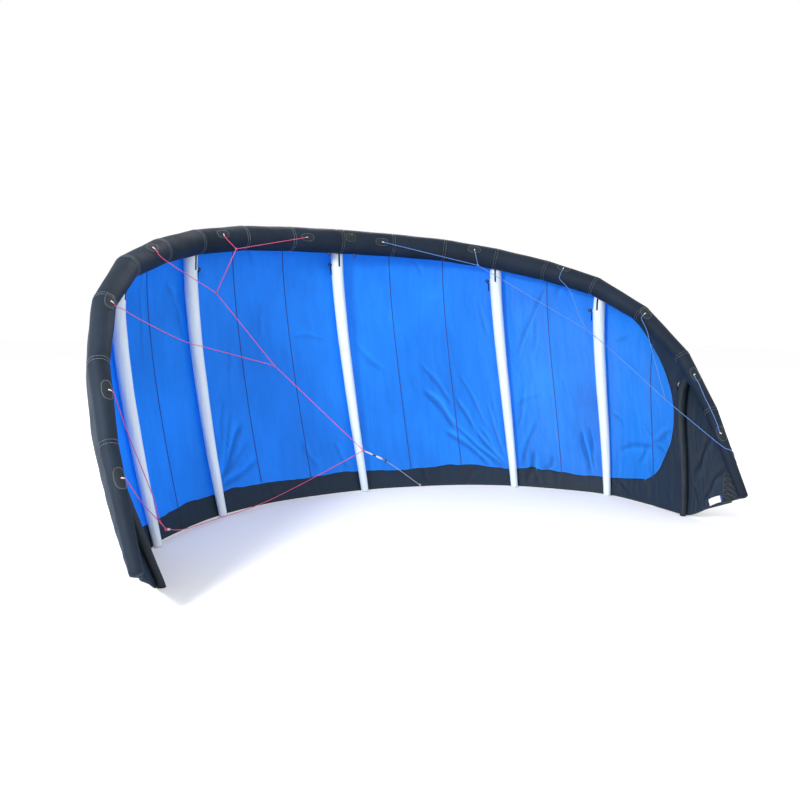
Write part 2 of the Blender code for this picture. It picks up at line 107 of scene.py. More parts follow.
# CAD node, colour, lie, start, route between, end
BRIDLE = (
    ("line_front_l", "pink", "hanging", (0.75, 188), ("upper_l", "middle_l", "lower_l"), "front_l"),
    ("line_second_l", "pink", "hanging", (2.57, 163), (), "upper_l"),
    ("line_third_l", "pink", "hanging", (4.40, 135), (), "middle_l"),
    (
        "line_fourth_l", "pink", "hanging", (6.10, 145),
        ((-1.91, -0.84, 1.42), (-1.79, -0.64, 1.36), (-1.43, -0.24, 1.20), (-1.28, -0.12, 1.16)),
        "lower_l",
    ),
    (
        "line_cross_l", "pink", "loose", "front_l",
        (
            (-0.51, -0.10, 0.15), (-0.84, -0.19, 0.05), (-1.05, -0.29, 0.02),
            (-1.30, -0.46, 0.02), (-1.54, -0.65, 0.03),
        ),
        "rear_l",
    ),
    (
        "line_rear_l", "pink", "hanging", (7.40, 140),
        (
            (-1.92, -1.10, 0.74), (-1.83, -1.00, 0.50), (-1.76, -0.92, 0.31),
            (-1.71, -0.84, 0.14), (-1.69, -0.84, 0.11), "rear_l",
            (-1.69, -0.87, 0.11), (-1.71, -0.90, 0.14), (-1.85, -1.15, 0.34),
        ),
        (8.30, 130),
    ),
    ("line_leader", "grey", "loose", "front_l", ((0.16, -0.05, 0.24),), (0.47, -0.05, 0.02)),
    (
        "line_front_r", "blue", "taut", (0.75, 188),
        (
            "upper_r", (1.38, -0.27, 1.56), "middle_r", (1.76, -0.76, 1.18),
            "lower_r", (1.95, -1.48, 0.67), *OVER_TIP,
        ),
        (8.55, 52),
    ),
    ("line_second_r", "blue", "taut", (2.57, 163), (), "upper_r"),
    (
        "line_third_r", "blue", "taut", (4.35, 135),
        ((1.66, -0.37, 1.64), (1.69, -0.49, 1.41)), "middle_r",
    ),
    (
        "line_fourth_r", "blue", "taut", (6.10, 150),
        ((1.95, -0.98, 1.32), (1.95, -1.03, 1.20)), "lower_r",
    ),
    (
        "line_rear_r", "blue", "taut", (7.40, 140),
        ((7.55, 150), (7.80, 158), (8.00, 158), (8.20, 150)), (8.30, 138),
    ),
)
LINE_DIAMETER = 0.005
LINE_STEP = 0.03
LINE_GAP = 0.0005
LINE_LIFT = 0.0012
KNOT_BEND = 0.030
WRAP_STEP = 14
WRAP_LIMIT = 250

# name, station, radius at the tube, radius at the foot, stations by which it stands
# towards the tip at the tube, colour
STRUTS = (
    ("mid", 0, 0.051, 0.028, 0.00, "white"),
    ("inner", 3, 0.050, 0.028, 0.00, "white"),
    ("outer", 5, 0.049, 0.027, 0.15, "white"),
    ("tip", 7, 0.036, 0.022, 0.30, "black"),
)
LEAN = {row[1]: row[4] for row in STRUTS}
STRUT_OFF_CLOTH = 0.0007
LEAN_OFF_CLOTH = 0.006
# station, width and share by which the top of the black band strays from its line
BAND_DRIFT = (
    (-4.50, 0.22, 0.005),
    (-3.70, 0.20, -0.005),
    (-2.60, 0.18, -0.005),
    (-1.20, 0.40, 0.004),
    (-0.35, 0.20, -0.004),
    (0.75, 0.30, 0.005),
    (1.75, 0.20, -0.008),
    (2.20, 0.25, -0.009),
    (2.90, 0.14, 0.004),
    (3.40, 0.12, -0.010),
    (3.75, 0.10, -0.004),
    (4.40, 0.20, 0.006),
)
# Seams of the blue cloth that no strut covers.
SEAMS = (1, 2, 4, 6)
# Creases in the cloth: station and rib share of both ends, half width, depth.
# A positive depth is a trough seen from the hollow side.
CREASES = (
    (1.45, 0.665, 2.00, 0.800, 0.020, 0.0070),
    (1.75, 0.805, 2.60, 0.930, 0.016, 0.0060),
    (1.95, 0.790, 2.78, 0.935, 0.012, 0.0060),
    (2.05, 0.690, 2.33, 0.805, 0.014, 0.0050),
    (2.33, 0.805, 2.88, 0.935, 0.013, 0.0060),
    (1.43, 0.570, 1.98, 0.720, 0.016, 0.0035),
    (2.46, 0.790, 2.68, 0.880, 0.012, 0.0035),
    (2.15, 0.600, 2.60, 0.800, 0.012, 0.0030),
    (2.40, 0.860, 2.84, 0.935, 0.012, 0.0045),
    (2.60, 0.700, 2.88, 0.920, 0.012, 0.0030),
    (3.15, 0.925, 3.60, 0.740, 0.014, 0.0035),
    (3.20, 0.700, 3.75, 0.640, 0.012, 0.0025),
    (0.23, 0.515, 0.73, 0.610, 0.020, 0.0025),
    (3.95, 0.165, 3.30, 0.525, 0.010, 0.0040),
    (3.80, 0.325, 3.63, 0.495, 0.012, 0.0025),
    (3.43, 0.610, 3.18, 0.790, 0.014, 0.0030),
    (4.48, 0.755, 4.60, 0.930, 0.018, 0.0060),
    (4.65, 0.740, 4.70, 0.910, 0.014, 0.0045),
    (6.20, 0.710, 6.78, 0.575, 0.012, 0.0030),
    (6.25, 0.710, 6.58, 0.735, 0.012, 0.0022),
    (6.15, 0.720, 5.80, 0.825, 0.014, 0.0030),
    (6.20, 0.700, 6.00, 0.640, 0.012, 0.0022),
    (6.10, 0.730, 5.25, 0.805, 0.014, 0.0028),
    (5.38, 0.335, 5.70, 0.245, 0.012, 0.0030),
    (5.20, 0.655, 5.45, 0.690, 0.012, 0.0030),
    (3.88, 0.875, 3.68, 0.935, 0.014, 0.0045),
    (3.50, 0.860, 3.28, 0.985, 0.016, 0.0060),
    (3.40, 0.900, 3.52, 0.990, 0.012, 0.0045),
    (2.30, 0.930, 2.05, 0.990, 0.014, 0.0035),
    (1.20, 0.930, 1.32, 0.990, 0.014, 0.0035),
    (5.20, 0.930, 5.55, 0.985, 0.014, 0.0040),
    (-1.90, 0.930, -1.75, 0.990, 0.014, 0.0035),
    (2.72, 0.600, 2.80, 0.885, 0.010, 0.0020),
    (2.63, 0.290, 2.80, 0.480, 0.012, 0.0022),
    (-2.76, 0.900, -2.18, 0.745, 0.020, 0.0075),
    (-2.18, 0.745, -2.43, 0.825, 0.014, 0.0035),
    (-2.66, 0.790, -2.48, 0.660, 0.016, 0.0030),
    (-2.84, 0.925, -1.95, 0.865, 0.016, 0.0050),
    (-2.84, 0.930, -2.34, 0.700, 0.014, 0.0045),
    (-2.80, 0.900, -2.05, 0.800, 0.014, 0.0030),
    (-0.95, 0.475, -0.30, 0.487, 0.012, 0.0025),
    (-4.13, 0.150, -4.25, 0.500, 0.012, 0.0025),
    (-3.48, 0.210, -3.30, 0.300, 0.016, 0.0032),
    (-3.32, 0.290, -3.14, 0.455, 0.015, 0.0032),
    (-2.20, 0.475, -2.33, 0.665, 0.014, 0.0022),
    (-1.10, 0.815, -0.85, 0.915, 0.016, 0.0030),
    (-1.48, 0.340, -1.58, 0.485, 0.012, 0.0020),
    (-0.45, 0.830, -0.22, 0.930, 0.014, 0.0030),
    (-4.55, 0.700, -4.72, 0.930, 0.016, 0.0040),
    (-1.72, 0.060, -1.60, 0.180, 0.014, 0.0025),
    (1.35, 0.050, 1.62, 0.210, 0.014, 0.0025),
    (4.35, 0.050, 4.15, 0.200, 0.014, 0.0025),
    (8.10, 0.300, 7.35, 0.760, 0.020, 0.0050),
    (8.50, 0.400, 7.70, 0.900, 0.018, 0.0045),
    (7.25, 0.820, 7.60, 0.960, 0.016, 0.0040),
    (-8.20, 0.350, -7.40, 0.800, 0.020, 0.0050),
    (-7.30, 0.500, -7.50, 0.900, 0.016, 0.0040),
)
CREASE_SCALE = 1.7  # applied to the depths above
# Crease troughs are darkened in the cloth's colour as painted shade, and their ridges lightened as
# painted highlight; this depth takes the full painted shade.
CREASE_FULL_SHADE = 0.0045  # depth of crease that takes the full tint
PINCH = 0.0020  # how far a seam draws the cloth in
CLOTH = 0.0010  # thickness
BLACK_LIFT = -0.0006  # the black cloth lies on the hollow side of the blue
LOWEST = 0.0016  # the middle of the cloth stays this far over the floor
BLUE_ROWS = 132
SEAM_HALF = 0.0035
STITCHED = 0.0012  # stitches over the middle of the cloth


def unit(vector):
    return vector / np.linalg.norm(vector, axis=-1, keepdims=True)


def ease(x):
    x = np.clip(x, 0.0, 1.0)
    return x * x * (3.0 - 2.0 * x)


def sided(side):
    """What turns a point of the right half into one of the half on this side."""
    return np.array((side, 1.0, 1.0))


def run_along(path):
    """The distance along a path at each of its points."""
    return np.concatenate(([0.0], np.cumsum(np.linalg.norm(np.diff(path, axis=0), axis=1))))


def at_runs(places, run, values):
    """The values at some distances along a path."""
    return np.stack([np.interp(places, run, values[:, i]) for i in range(3)], axis=-1)


MIRROR = sided(-1)
LE_RUN = run_along(LE)
LE_SPANS = np.diff(LE_RUN)
# The tube's direction, the direction aft of it and the outward normal at each station.
before = np.vstack((LE[1] * MIRROR, LE[:-1]))
after = np.vstack((LE[1:], LE[-1]))
ALONG = unit(after - before)
NORMAL = unit(np.cross(ALONG, TE - LE))
AFT = unit(np.cross(NORMAL, ALONG))
# The Bezier points of each rib, from the tube to the trailing edge.
CHORD = np.linalg.norm(TE - LE, axis=1, keepdims=True)
rise_cos, rise_sin = math.cos(TAKEOFF), math.sin(TAKEOFF)
start = LE + (RADIUS[:, None] + 0.0006) * (rise_cos * NORMAL - rise_sin * AFT)
front = RISE[:, None] * CHORD * (rise_cos * AFT + rise_sin * NORMAL)
back = math.sin(REAR_SLOPE) * NORMAL - math.cos(REAR_SLOPE) * unit(TE - LE)
CONTROL = (start, start + front, TE + REAR_HANDLE * CHORD * back, TE)


def rib(k, v):
    """Points on the ribs k at the shares v; rib -1 is the mirror image of rib 1."""
    flip = np.where(k < 0, -1.0, 1.0)
    k = np.abs(k)
    w = (1.0 - v)[:, None]
    v = v[:, None]
    a, b, c, d = (control[k] for control in CONTROL)
    point = w**3 * a + 3 * w * w * v * b + 3 * w * v * v * c + v**3 * d
    point[:, 0] *= flip
    return point


def canopy(u, v):
    """Points of the cloth. It is straight between ribs at the tube and curved behind it."""
    u, v = np.broadcast_arrays(np.asarray(u, float), np.asarray(v, float))
    shape = u.shape
    u, v = u.ravel(), v.ravel()
    k = np.minimum(np.abs(u).astype(int), LAST - 1)
    s = (np.abs(u) - k)[:, None]
    p0, p1, p2 = rib(k - 1, v), rib(k, v), rib(k + 1, v)
    p3 = np.where((k + 2 > LAST)[:, None], 2 * p2 - p1, rib(np.minimum(k + 2, LAST), v))
    straight = p1 + s * (p2 - p1)
    square = (2 * p0 - 5 * p1 + 4 * p2 - p3) * s**2
    cube = (3 * p1 - p0 - 3 * p2 + p3) * s**3
    curved = 0.5 * (2 * p1 + (p2 - p0) * s + square + cube)
    point = straight + ease(v / 0.3)[:, None] * (curved - straight)
    point[:, 0] *= np.where(u < 0, -1.0, 1.0)
    return point.reshape(*shape, 3)


def cloth_normal(u, v):
    """The direction out of the cloth, away from the hollow side."""
    u, v = np.asarray(u, float), np.asarray(v, float)
    low, high = np.maximum(v - 0.002, 0.0), np.minimum(v + 0.002, 1.0)
    across = canopy(np.minimum(u + 0.01, 8.999), v) - canopy(np.maximum(u - 0.01, -8.999), v)
    down = canopy(u, high) - canopy(u, low)
    return unit(np.cross(across, down))


def rib_length(u):
    return np.interp(np.abs(u), range(LAST + 1), CHORD[:, 0])


def across_length(u):
    """Distance along the leading edge from the middle, signed."""
    return np.sign(u) * np.interp(np.abs(u), range(LAST + 1), LE_RUN)


def creases(u, v):
    """The depth of the creases of the table, each a trough with a soft ridge beside it."""
    x = across_length(u)
    y = v * rib_length(u)
    height = np.zeros(np.broadcast(u, v).shape)
    for u0, v0, u1, v1, half, depth in CREASES:
        ax, ay = float(across_length(u0)), v0 * float(rib_length(u0))
        bx, by = float(across_length(u1)), v1 * float(rib_length(u1))
        run = math.hypot(bx - ax, by - ay)
        dx, dy = (bx - ax) / run, (by - ay) / run
        t = ((x - ax) * dx + (y - ay) * dy) / run
        # A crease wanders a little and is not the same width all along.
        off = (x - ax) * dy - (y - ay) * dx
        off = off + 0.45 * half * np.sin(7.0 * t + 40.0 * ax)
        wide = half * (0.75 + 0.35 * np.sin(5.0 * t + 1.3 + ay) ** 2)
        fade = ease(t / 0.22 + 0.15) * ease((1.06 - t) / 0.30)
        ridge = 0.60 * np.exp(-(((off - 1.9 * wide) / (1.1 * wide)) ** 2))
        height += depth * fade * (np.exp(-((off / wide) ** 2)) - ridge)
    return height


def relief(u, v):
    """How far the cloth stands out of its plain curve, for creases, billows and seams."""
    u, v = np.asarray(u, float), np.asarray(v, float)
    x = across_length(u)
    y = v * rib_length(u)
    size = np.abs(u)
    height = CREASE_SCALE * creases(u, v)
    # The cloth fills out a little between two seams.
    billow = np.sin(math.pi * (size - np.floor(size))) ** 2
    height += 0.0050 * billow * np.sin(math.pi * np.clip(v, 0, 1))
    # Shallow upright ripples hang from the tube, stronger near it.
    hang = 0.0011 * np.sin(61.0 * x + 2.1 * np.sin(3.1 * y) + 1.7 * np.sin(9.0 * x))
    hang += 0.0010 * np.sin(37.0 * x + 2.7 * np.sin(2.3 * y + 1.0) + 0.8)
    height += hang * (0.35 + 0.65 * ease(1.0 - v / 0.55)) * ease(v / 0.02)
    # Puckers run into the trailing band.
    pucker = np.sin(74.0 * x + 3.0 * np.sin(5.0 * x))
    height += 0.0018 * pucker * np.exp(-(((v - 0.93) / 0.035) ** 2))
    # The cloth is drawn in at its sewn seams and lies plain along the struts.
    for k in range(LAST + 1):
        if k in LEAN:
            near = np.abs(size - k - LEAN[k] * (1.0 - v))
            height *= ease((near - 0.11) / 0.20)
        else:
            height -= PINCH * np.exp(-((np.abs(size - k) / 0.022) ** 2))
    return height * ease(v / 0.03) * ease((1.0 - v) / 0.02 + 0.25)


def cloth(u, v, lift=0.0):
    """Points of the creased cloth, moved outwards by lift."""
    point = canopy(u, v) + (relief(u, v) + lift)[..., None] * cloth_normal(u, v)
    point[..., 2] = np.maximum(point[..., 2], LOWEST)
    return point


def grid_faces(rows, columns, closed=False):
    i = np.arange(rows - 1)[:, None]
    j = np.arange(columns if closed else columns - 1)[None, :]
    n = (j + 1) % columns
    here, below = i * columns, (i + 1) * columns
    quads = np.broadcast_arrays(here + j, here + n, below + n, below + j)
    return np.stack(quads, axis=-1).reshape(-1, 4)


def tube_faces(rows, sides):
    """The faces of a closed tube made of rows of points, with both ends capped."""
    faces = grid_faces(rows, sides, closed=True).tolist()
    return [*faces, list(range(sides))[::-1], list(range((rows - 1) * sides, rows * sides))]


def new_mesh(name, points, faces, look, slot_name, smooth=True, uv=None, fold=None):
    """An object that rides on the root; uv holds one pair for each point, and the crease-shade argument
    one number for each point, the painted shade of the creases.
    """
    points = np.asarray(points, float).reshape(-1, 3)
    mesh = bpy.data.meshes.new(name)
    mesh.from_pydata(points.tolist(), [], [list(map(int, f)) for f in faces])
    mesh.validate()
    if uv is not None:
        layer = mesh.uv_layers.new(name="cloth")
        index = np.empty(len(mesh.loops), int)
        mesh.loops.foreach_get("vertex_index", index)
        layer.data.foreach_set("uv", np.asarray(uv, float).reshape(-1, 2)[index].ravel())
    if fold is not None:
        mesh.attributes.new("fold", "FLOAT", "POINT").data.foreach_set("value", np.ravel(fold))
    mesh.polygons.foreach_set("use_smooth", [smooth] * len(mesh.polygons))
    mesh.materials.append(LOOKS[look])
    made = bpy.data.objects.new(name, mesh)
    bpy.context.scene.collection.objects.link(made)
    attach(made, "root")
    return made


def face_outwards(made):
    work = bmesh.new()
    work.from_mesh(made.data)
    bmesh.ops.recalc_face_normals(work, faces=work.faces)
    work.to_mesh(made.data)
    work.free()


# ---------------------------------------------------------------- materials


class Shade:
    """A short way to build a node material round one Principled shader."""

    def __init__(self, name, colour, roughness, **sockets):
        self.material = bpy.data.materials.new(name)
        self.material.use_nodes = True
        self.tree = self.material.node_tree
        self.tree.nodes.clear()
        self.out = self.tree.nodes.new("ShaderNodeOutputMaterial")
        self.shader = self.tree.nodes.new("ShaderNodeBsdfPrincipled")
        self.link(self.shader.outputs[0], self.out.inputs[0])
        self.set(self.shader, "Base Color", (*colour, 1.0))
        self.set(self.shader, "Roughness", roughness)
        for socket, value in sockets.items():
            self.set(self.shader, socket.replace("_", " "), value)
        self.colour = colour
        self.material.diffuse_color = (*colour, 1.0)

    def set(self, node, socket, value):
        if hasattr(value, "is_output"):
            self.link(value, node.inputs[socket])
        else:
            node.inputs[socket].default_value = value

    def link(self, a, b):
        self.tree.links.new(a, b)

    def node(self, kind, output=0, **inputs):
        """The output of a new node. An input named i0 is set by number, and _name is a property."""
        made = self.tree.nodes.new("ShaderNode" + kind)
        for key, value in inputs.items():
            if key.startswith("_"):
                setattr(made, key[1:], value)
            else:
                self.set(made, int(key[1:]) if key[0] == "i" and key[1:].isdigit() else key, value)
        return made.outputs[output]

    def place(self, uv):
        if uv:
            return self.node("UVMap", _uv_map="cloth")
        return self.node("TexCoord", output=3)

    def noise(self, where, scale, detail=4.0, roughness=0.55, stretch=(1.0, 1.0, 1.0)):
        spot = self.node("Mapping", Vector=where, Scale=stretch)
        return self.node("TexNoise", Vector=spot, Scale=scale, Detail=detail, Roughness=roughness)

    def ramp(self, value, low, high, to_low=0.0, to_high=1.0):
        bounds = {"From Min": low, "From Max": high, "To Min": to_low, "To Max": to_high}
        return self.node("MapRange", Value=value, **bounds)

    def tint(self, value, dark, bright):
        """The base colour, from dark to bright times the plain one, led by value."""
        low = tuple(c * dark for c in self.colour)
        high = tuple(min(1.0, c * bright) for c in self.colour)
        mix = self.tree.nodes.new("ShaderNodeMix")
        mix.data_type = "RGBA"
        self.link(value, mix.inputs["Factor"])
        mix.inputs[6].default_value = (*low, 1.0)
        mix.inputs[7].default_value = (*high, 1.0)
        self.link(mix.outputs[2], self.shader.inputs["Base Color"])

    def bumps(self, *layers):
        """Each layer is (height socket, distance in metres, strength)."""
        normal = None
        for height, distance, strength in layers:
            bump = self.tree.nodes.new("ShaderNodeBump")
            self.set(bump, "Height", height)
            self.set(bump, "Distance", distance)
            self.set(bump, "Strength", strength)
            if normal is not None:
                self.link(normal, bump.inputs["Normal"])
            normal = bump.outputs[0]
        self.link(normal, self.shader.inputs["Normal"])

    def glow_through(self, share, colour):
        """Lets part of the light behind the cloth through."""
        clear = self.node("BsdfTranslucent", Color=(*colour, 1.0))
        mix = self.tree.nodes.new("ShaderNodeMixShader")
        mix.inputs[0].default_value = share
        self.link(self.shader.outputs[0], mix.inputs[1])
        self.link(clear, mix.inputs[2])
        self.link(mix.outputs[0], self.out.inputs[0])


def ripstop(name, colour, roughness, dark, bright, glow, glow_colour, **sockets):
    """Thin crisp cloth with a grid of thicker threads and a web of fine creases. Its colour has a random
    tone with painted shade on top: upright streaks that follow the ripple bumps, and darkening along the
    fine creases and in the troughs of the big ones.
    """
    made = Shade(name, colour, roughness, **sockets)
    uv = made.place(True)
    grid = 0.0
    for direction in ("X", "Y"):
        wave = made.node("TexWave", output=1, Vector=uv, Scale=40.0, _bands_direction=direction)
        line = made.ramp(wave, 0.93, 1.0)
        grid = made.node("Math", i0=line, i1=grid, _operation="MAXIMUM")
    upright = made.noise(uv, 7.0, 5.0, 0.62, (2.6, 0.55, 1.0))
    stray = made.node("TexNoise", output=1, Vector=uv, Scale=5.0, Detail=3.0)
    stray = made.node("VectorMath", i0=stray, i1=(0.16, 0.16, 0.0), _operation="MULTIPLY")
    stray = made.node("VectorMath", i0=uv, i1=stray, _operation="ADD")
    stretched = made.node("Mapping", Vector=stray, Scale=(1.0, 0.45, 1.0))
    web = made.node("TexVoronoi", Vector=stretched, Scale=8.0, _feature="DISTANCE_TO_EDGE")
    crumple = made.ramp(web, 0.0, 0.06)
    folds = made.node("Attribute", output=2, _attribute_name="fold")
    broad = made.noise(uv, 1.3, 2.0, 0.5)
    # Painted shade and highlight: upright streaks in the colour that follow the ripple bumps, added to
    # the random broad tone.
    streak_shade = made.node("Math", i0=upright, i1=0.55, _operation="MULTIPLY")
    tone_and_streak_shade = made.node("Math", i0=broad, i1=streak_shade, _operation="ADD")
    light = made.ramp(tone_and_streak_shade, 0.50, 1.05)
    # Painted shade: darker along the web of fine creases and in the troughs of the big creases, lighter
    # on their ridges.
    for painted_shade in (made.ramp(crumple, 0.0, 1.0, 0.10, 0.0), folds):
        light = made.node("Math", i0=light, i1=painted_shade, _operation="SUBTRACT")
    made.tint(made.ramp(light, -0.4, 1.2), dark, bright)
    made.bumps((upright, 0.016, 0.40), (crumple, 0.0016, 0.40), (grid, 0.0003, 0.5))
    made.glow_through(glow, glow_colour)
    return made.material


def woven(name, colour, roughness, dark, bright, scale=900.0, uv=True, wrinkle=0.3, **sockets):
    """Stout plain-woven polyester with soft handling marks."""
    made = Shade(name, colour, roughness, **sockets)
    where = made.place(uv)
    warp = made.node("TexWave", output=1, Vector=where, Scale=scale, _bands_direction="X")
    weft = made.node("TexWave", output=1, Vector=where, Scale=scale, _bands_direction="Y")
    weave = made.node("Math", i0=warp, i1=weft, _operation="MULTIPLY")
    soft = made.noise(where, 9.0, 5.0, 0.6)
    dust = made.noise(where, 2.1, 6.0, 0.65)
    made.tint(made.ramp(dust, 0.34, 0.68), dark, bright)
    made.bumps((soft, 0.012, wrinkle), (weave, 0.0004, 0.35))
    return made.material


def braid(name, colour, bright=1.25):
    """Fine braided cord, its strands crossing on the slant."""
    made = Shade(name, colour, 0.55, Sheen_Weight=0.25)
    where = made.place(False)
    strands = made.node(
        "TexWave", output=1, Vector=where, Scale=260.0, Distortion=1.5, _bands_direction="DIAGONAL"
    )
    fluff = made.noise(where, 180.0, 3.0)
    made.tint(made.ramp(fluff, 0.3, 0.7), 0.78, bright)
    made.bumps((strands, 0.0008, 0.8))
    return made.material


def moulded(name, colour, roughness=0.4):
    made = Shade(name, colour, roughness)
    grain = made.noise(made.place(False), 320.0, 3.0)
    made.tint(made.ramp(grain, 0.3, 0.7), 0.9, 1.12)
    made.bumps((grain, 0.0004, 0.3))
    return made.material


LOOKS = {
    "blue_cloth": ripstop(
        "blue_ripstop", (0.022, 0.320, 0.80), 0.46, 0.45, 1.20,
        0.50, (0.018, 0.368, 0.95), Specular_IOR_Level=0.35,
    ),
    "black_cloth": ripstop(
        "black_ripstop", (0.012, 0.025, 0.046), 0.55, 0.70, 1.30,
        0.03, (0.02, 0.03, 0.05), Specular_IOR_Level=0.22,
    ),
    "tube": woven(
        "tube_polyester", (0.009, 0.017, 0.031), 0.64, 0.75, 1.35, wrinkle=0.35, Specular_IOR_Level=0.18
    ),
    "patch": woven(
        "patch_polyester", (0.013, 0.020, 0.028), 0.65, 0.80, 1.30, wrinkle=0.2, Specular_IOR_Level=0.25
    ),
    "white": woven("strut_polyester", (0.73, 0.83, 0.92), 0.55, 0.94, 1.05),
    "black": woven(
        "black_strut_polyester", (0.014, 0.022, 0.032), 0.58, 0.75, 1.35,
        wrinkle=0.35, Specular_IOR_Level=0.3,
    ),
    "seam": woven("seam_tape", (0.008, 0.055, 0.27), 0.6, 0.8, 1.2, wrinkle=0.1),
    "black_seam": woven(
        "black_seam_tape", (0.020, 0.030, 0.043), 0.6, 0.8, 1.2, wrinkle=0.1, Specular_IOR_Level=0.2
    ),
    "webbing": woven(
        "black_webbing", (0.004, 0.005, 0.008), 0.70, 0.8, 1.3,
        scale=1400.0, wrinkle=0.1, Specular_IOR_Level=0.15,
    ),
    "thread": woven("pale_thread", (0.22, 0.26, 0.29), 0.6, 0.8, 1.2, uv=False, wrinkle=0.1),
    "label": woven("bare_label", (0.82, 0.82, 0.80), 0.6, 0.93, 1.05, uv=False, wrinkle=0.15),
    "label_edge": woven("label_edging", (0.10, 0.09, 0.55), 0.6, 0.85, 1.2, uv=False, wrinkle=0.1),
    "pink": braid("pink_braid", (0.85, 0.055, 0.200)),
    "blue": braid("blue_braid", (0.085, 0.240, 0.600)),
    "grey": braid("grey_braid", (0.34, 0.40, 0.48)),
    "white_sleeve": braid("white_sleeving", (0.80, 0.82, 0.84), 1.1),
    "black_sleeve": braid("black_sleeving", (0.012, 0.014, 0.018), 1.4),
    "plug": moulded("black_moulding", (0.010, 0.011, 0.013)),
    "flange": moulded("white_moulding", (0.72, 0.74, 0.76), 0.35),
}

# ------------------------------------------------------------------- camera

camera_data = bpy.data.cameras.new("camera")
camera_data.lens = 34.45
camera_data.sensor_width = 36.0
camera = bpy.data.objects.new("camera", camera_data)
camera.rotation_mode = "QUATERNION"
yaw, pitch, roll = math.radians(-26.34), math.radians(90.0 - 6.46), math.radians(1.02)
view = Matrix.Translation((-2.427, -4.881, 1.419))
for angle, axis in ((yaw, "Z"), (pitch, "X"), (roll, "Z")):
    view = view @ Matrix.Rotation(angle, 4, axis)
camera.matrix_world = view
bpy.context.scene.collection.objects.link(camera)
bpy.context.scene.camera = camera

# -------------------------------------------------------------- bridle lines


def tube_place(u, clock, side, lift):
    """A point over the leading-edge tube, and the direction out of the tube there."""
    k = min(int(u), LAST - 1)
    share = u - k
    angle = math.radians(clock)
    ends = []
    for i in (k, k + 1):
        out = math.cos(angle) * NORMAL[i] - math.sin(angle) * AFT[i]
        ends.append((LE[i] + (RADIUS[i] + lift) * out, out))
    point = ends[0][0] + share * (ends[1][0] - ends[0][0])
    out = unit(ends[0][1] + share * (ends[1][1] - ends[0][1]))
    return point * sided(side), out * sided(side)


def tube_clearance(points, side):
    """How far points lie outside the leading-edge tube."""
    centres = np.vstack((LE[1] * MIRROR, LE)) * sided(side)
    radii = np.concatenate((RADIUS[1:2], RADIUS))
    nearest = np.full(points.shape[:-1], np.inf)
    for a, b, ra, rb in zip(centres[:-1], centres[1:], radii[:-1], radii[1:]):
        share = np.clip((points - a) @ (b - a) / ((b - a) @ (b - a)), 0.0, 1.0)
        away = np.linalg.norm(points - a - share[..., None] * (b - a), axis=-1)
        nearest = np.minimum(nearest, away - ra - share * (rb - ra))
    return nearest


def over_tube(point, target, side):
    """How far a straight run stays outside the tube, less where it starts."""
    run = point + np.linspace(0.0, 1.0, 60)[:, None] * (target - point)
    clear = tube_clearance(run, side)
    return clear.min() - clear[0]


def is_on_tube(place):
    return not isinstance(place, str) and len(place) == 2


def side_of(line):
    return 1 if line.endswith("_r") else -1


def line_point(place, side):
    if isinstance(place, str):
        return np.array(KNOTS[place]) + SHIFT
    if is_on_tube(place):
        return tube_place(*place, side, 0.5 * LINE_DIAMETER + LINE_LIFT)[0]
    return np.array(place) + SHIFT


def round_tube(place, target, side):
    """Points that lead a line round the tube from where it is sewn on, until it is free."""
    u, clock = place
    points = []
    here = line_point(place, side)
    while clock < WRAP_LIMIT and over_tube(here, target, side) < -0.0002:
        clock += WRAP_STEP
        here = line_point((u, clock), side)
        points.append(here)
    return points


def tied_on(knot):
    rows = sorted(BRIDLE, key=lambda row: knot not in row[4])
    return next(row for row in rows if knot in (*row[4], row[5]))


def knot_reach(knot, away, side):
    """How far from a knot a line tied on there stops, to lie a gap off the line it meets."""
    row = tied_on(knot)
    stops = (row[3], *row[4], row[5])
    i = stops.index(knot)
    here = line_point(knot, side)
    radius = 0.5 * LINE_DIAMETER
    reach = []
    for stop in stops[i - 1 : i + 2]:
        if stop == knot:
            continue
        along = float(away @ unit(line_point(stop, side) - here))
        across = math.sqrt(1.0 - along**2)
        if along > 0.0:
            reach.append((radius + LINE_GAP + radius * along) / across)
        else:
            reach.append(LINE_GAP + radius * across)
    return max(reach)


def line_end(row, place, toward, side):
    """Where a line stops so that it just meets the tube or the line it is tied to."""
    point = line_point(place, side)
    away = unit(toward - point)
    if is_on_tube(place):
        base, out = tube_place(*place, side, 0.0)
        lean = math.sqrt(max(0.0, 1.0 - float(away @ out) ** 2))
        return base + (LINE_GAP + 0.5 * LINE_DIAMETER * lean) * out
    if isinstance(place, str) and tied_on(place) is not row:
        return point + knot_reach(place, away, side) * away
    return point


def smooth_route(points, step):
    """Points about a step apart along a centripetal Catmull-Rom curve."""
    points = [2 * points[0] - points[1]] + list(points) + [2 * points[-1] - points[-2]]
    route = []
    for i in range(1, len(points) - 2):
        p0, p1, p2, p3 = points[i - 1 : i + 3]
        t0, t1 = 0.0, math.sqrt(np.linalg.norm(p1 - p0))
        t2 = t1 + math.sqrt(np.linalg.norm(p2 - p1))
        t3 = t2 + math.sqrt(np.linalg.norm(p3 - p2))
        count = max(1, round(np.linalg.norm(p2 - p1) / step))
        for j in range(count):
            t = t1 + (t2 - t1) * j / count
            a1 = (t1 - t) / (t1 - t0) * p0 + (t - t0) / (t1 - t0) * p1
            a2 = (t2 - t) / (t2 - t1) * p1 + (t - t1) / (t2 - t1) * p2
            a3 = (t3 - t) / (t3 - t2) * p2 + (t - t2) / (t3 - t2) * p3
            b1 = (t2 - t) / (t2 - t0) * a1 + (t - t0) / (t2 - t0) * a2
            b2 = (t3 - t) / (t3 - t1) * a2 + (t - t1) / (t3 - t1) * a3
            route.append((t2 - t) / (t2 - t1) * b1 + (t - t1) / (t2 - t1) * b2)
    route.append(points[-2])
    return np.array(route)


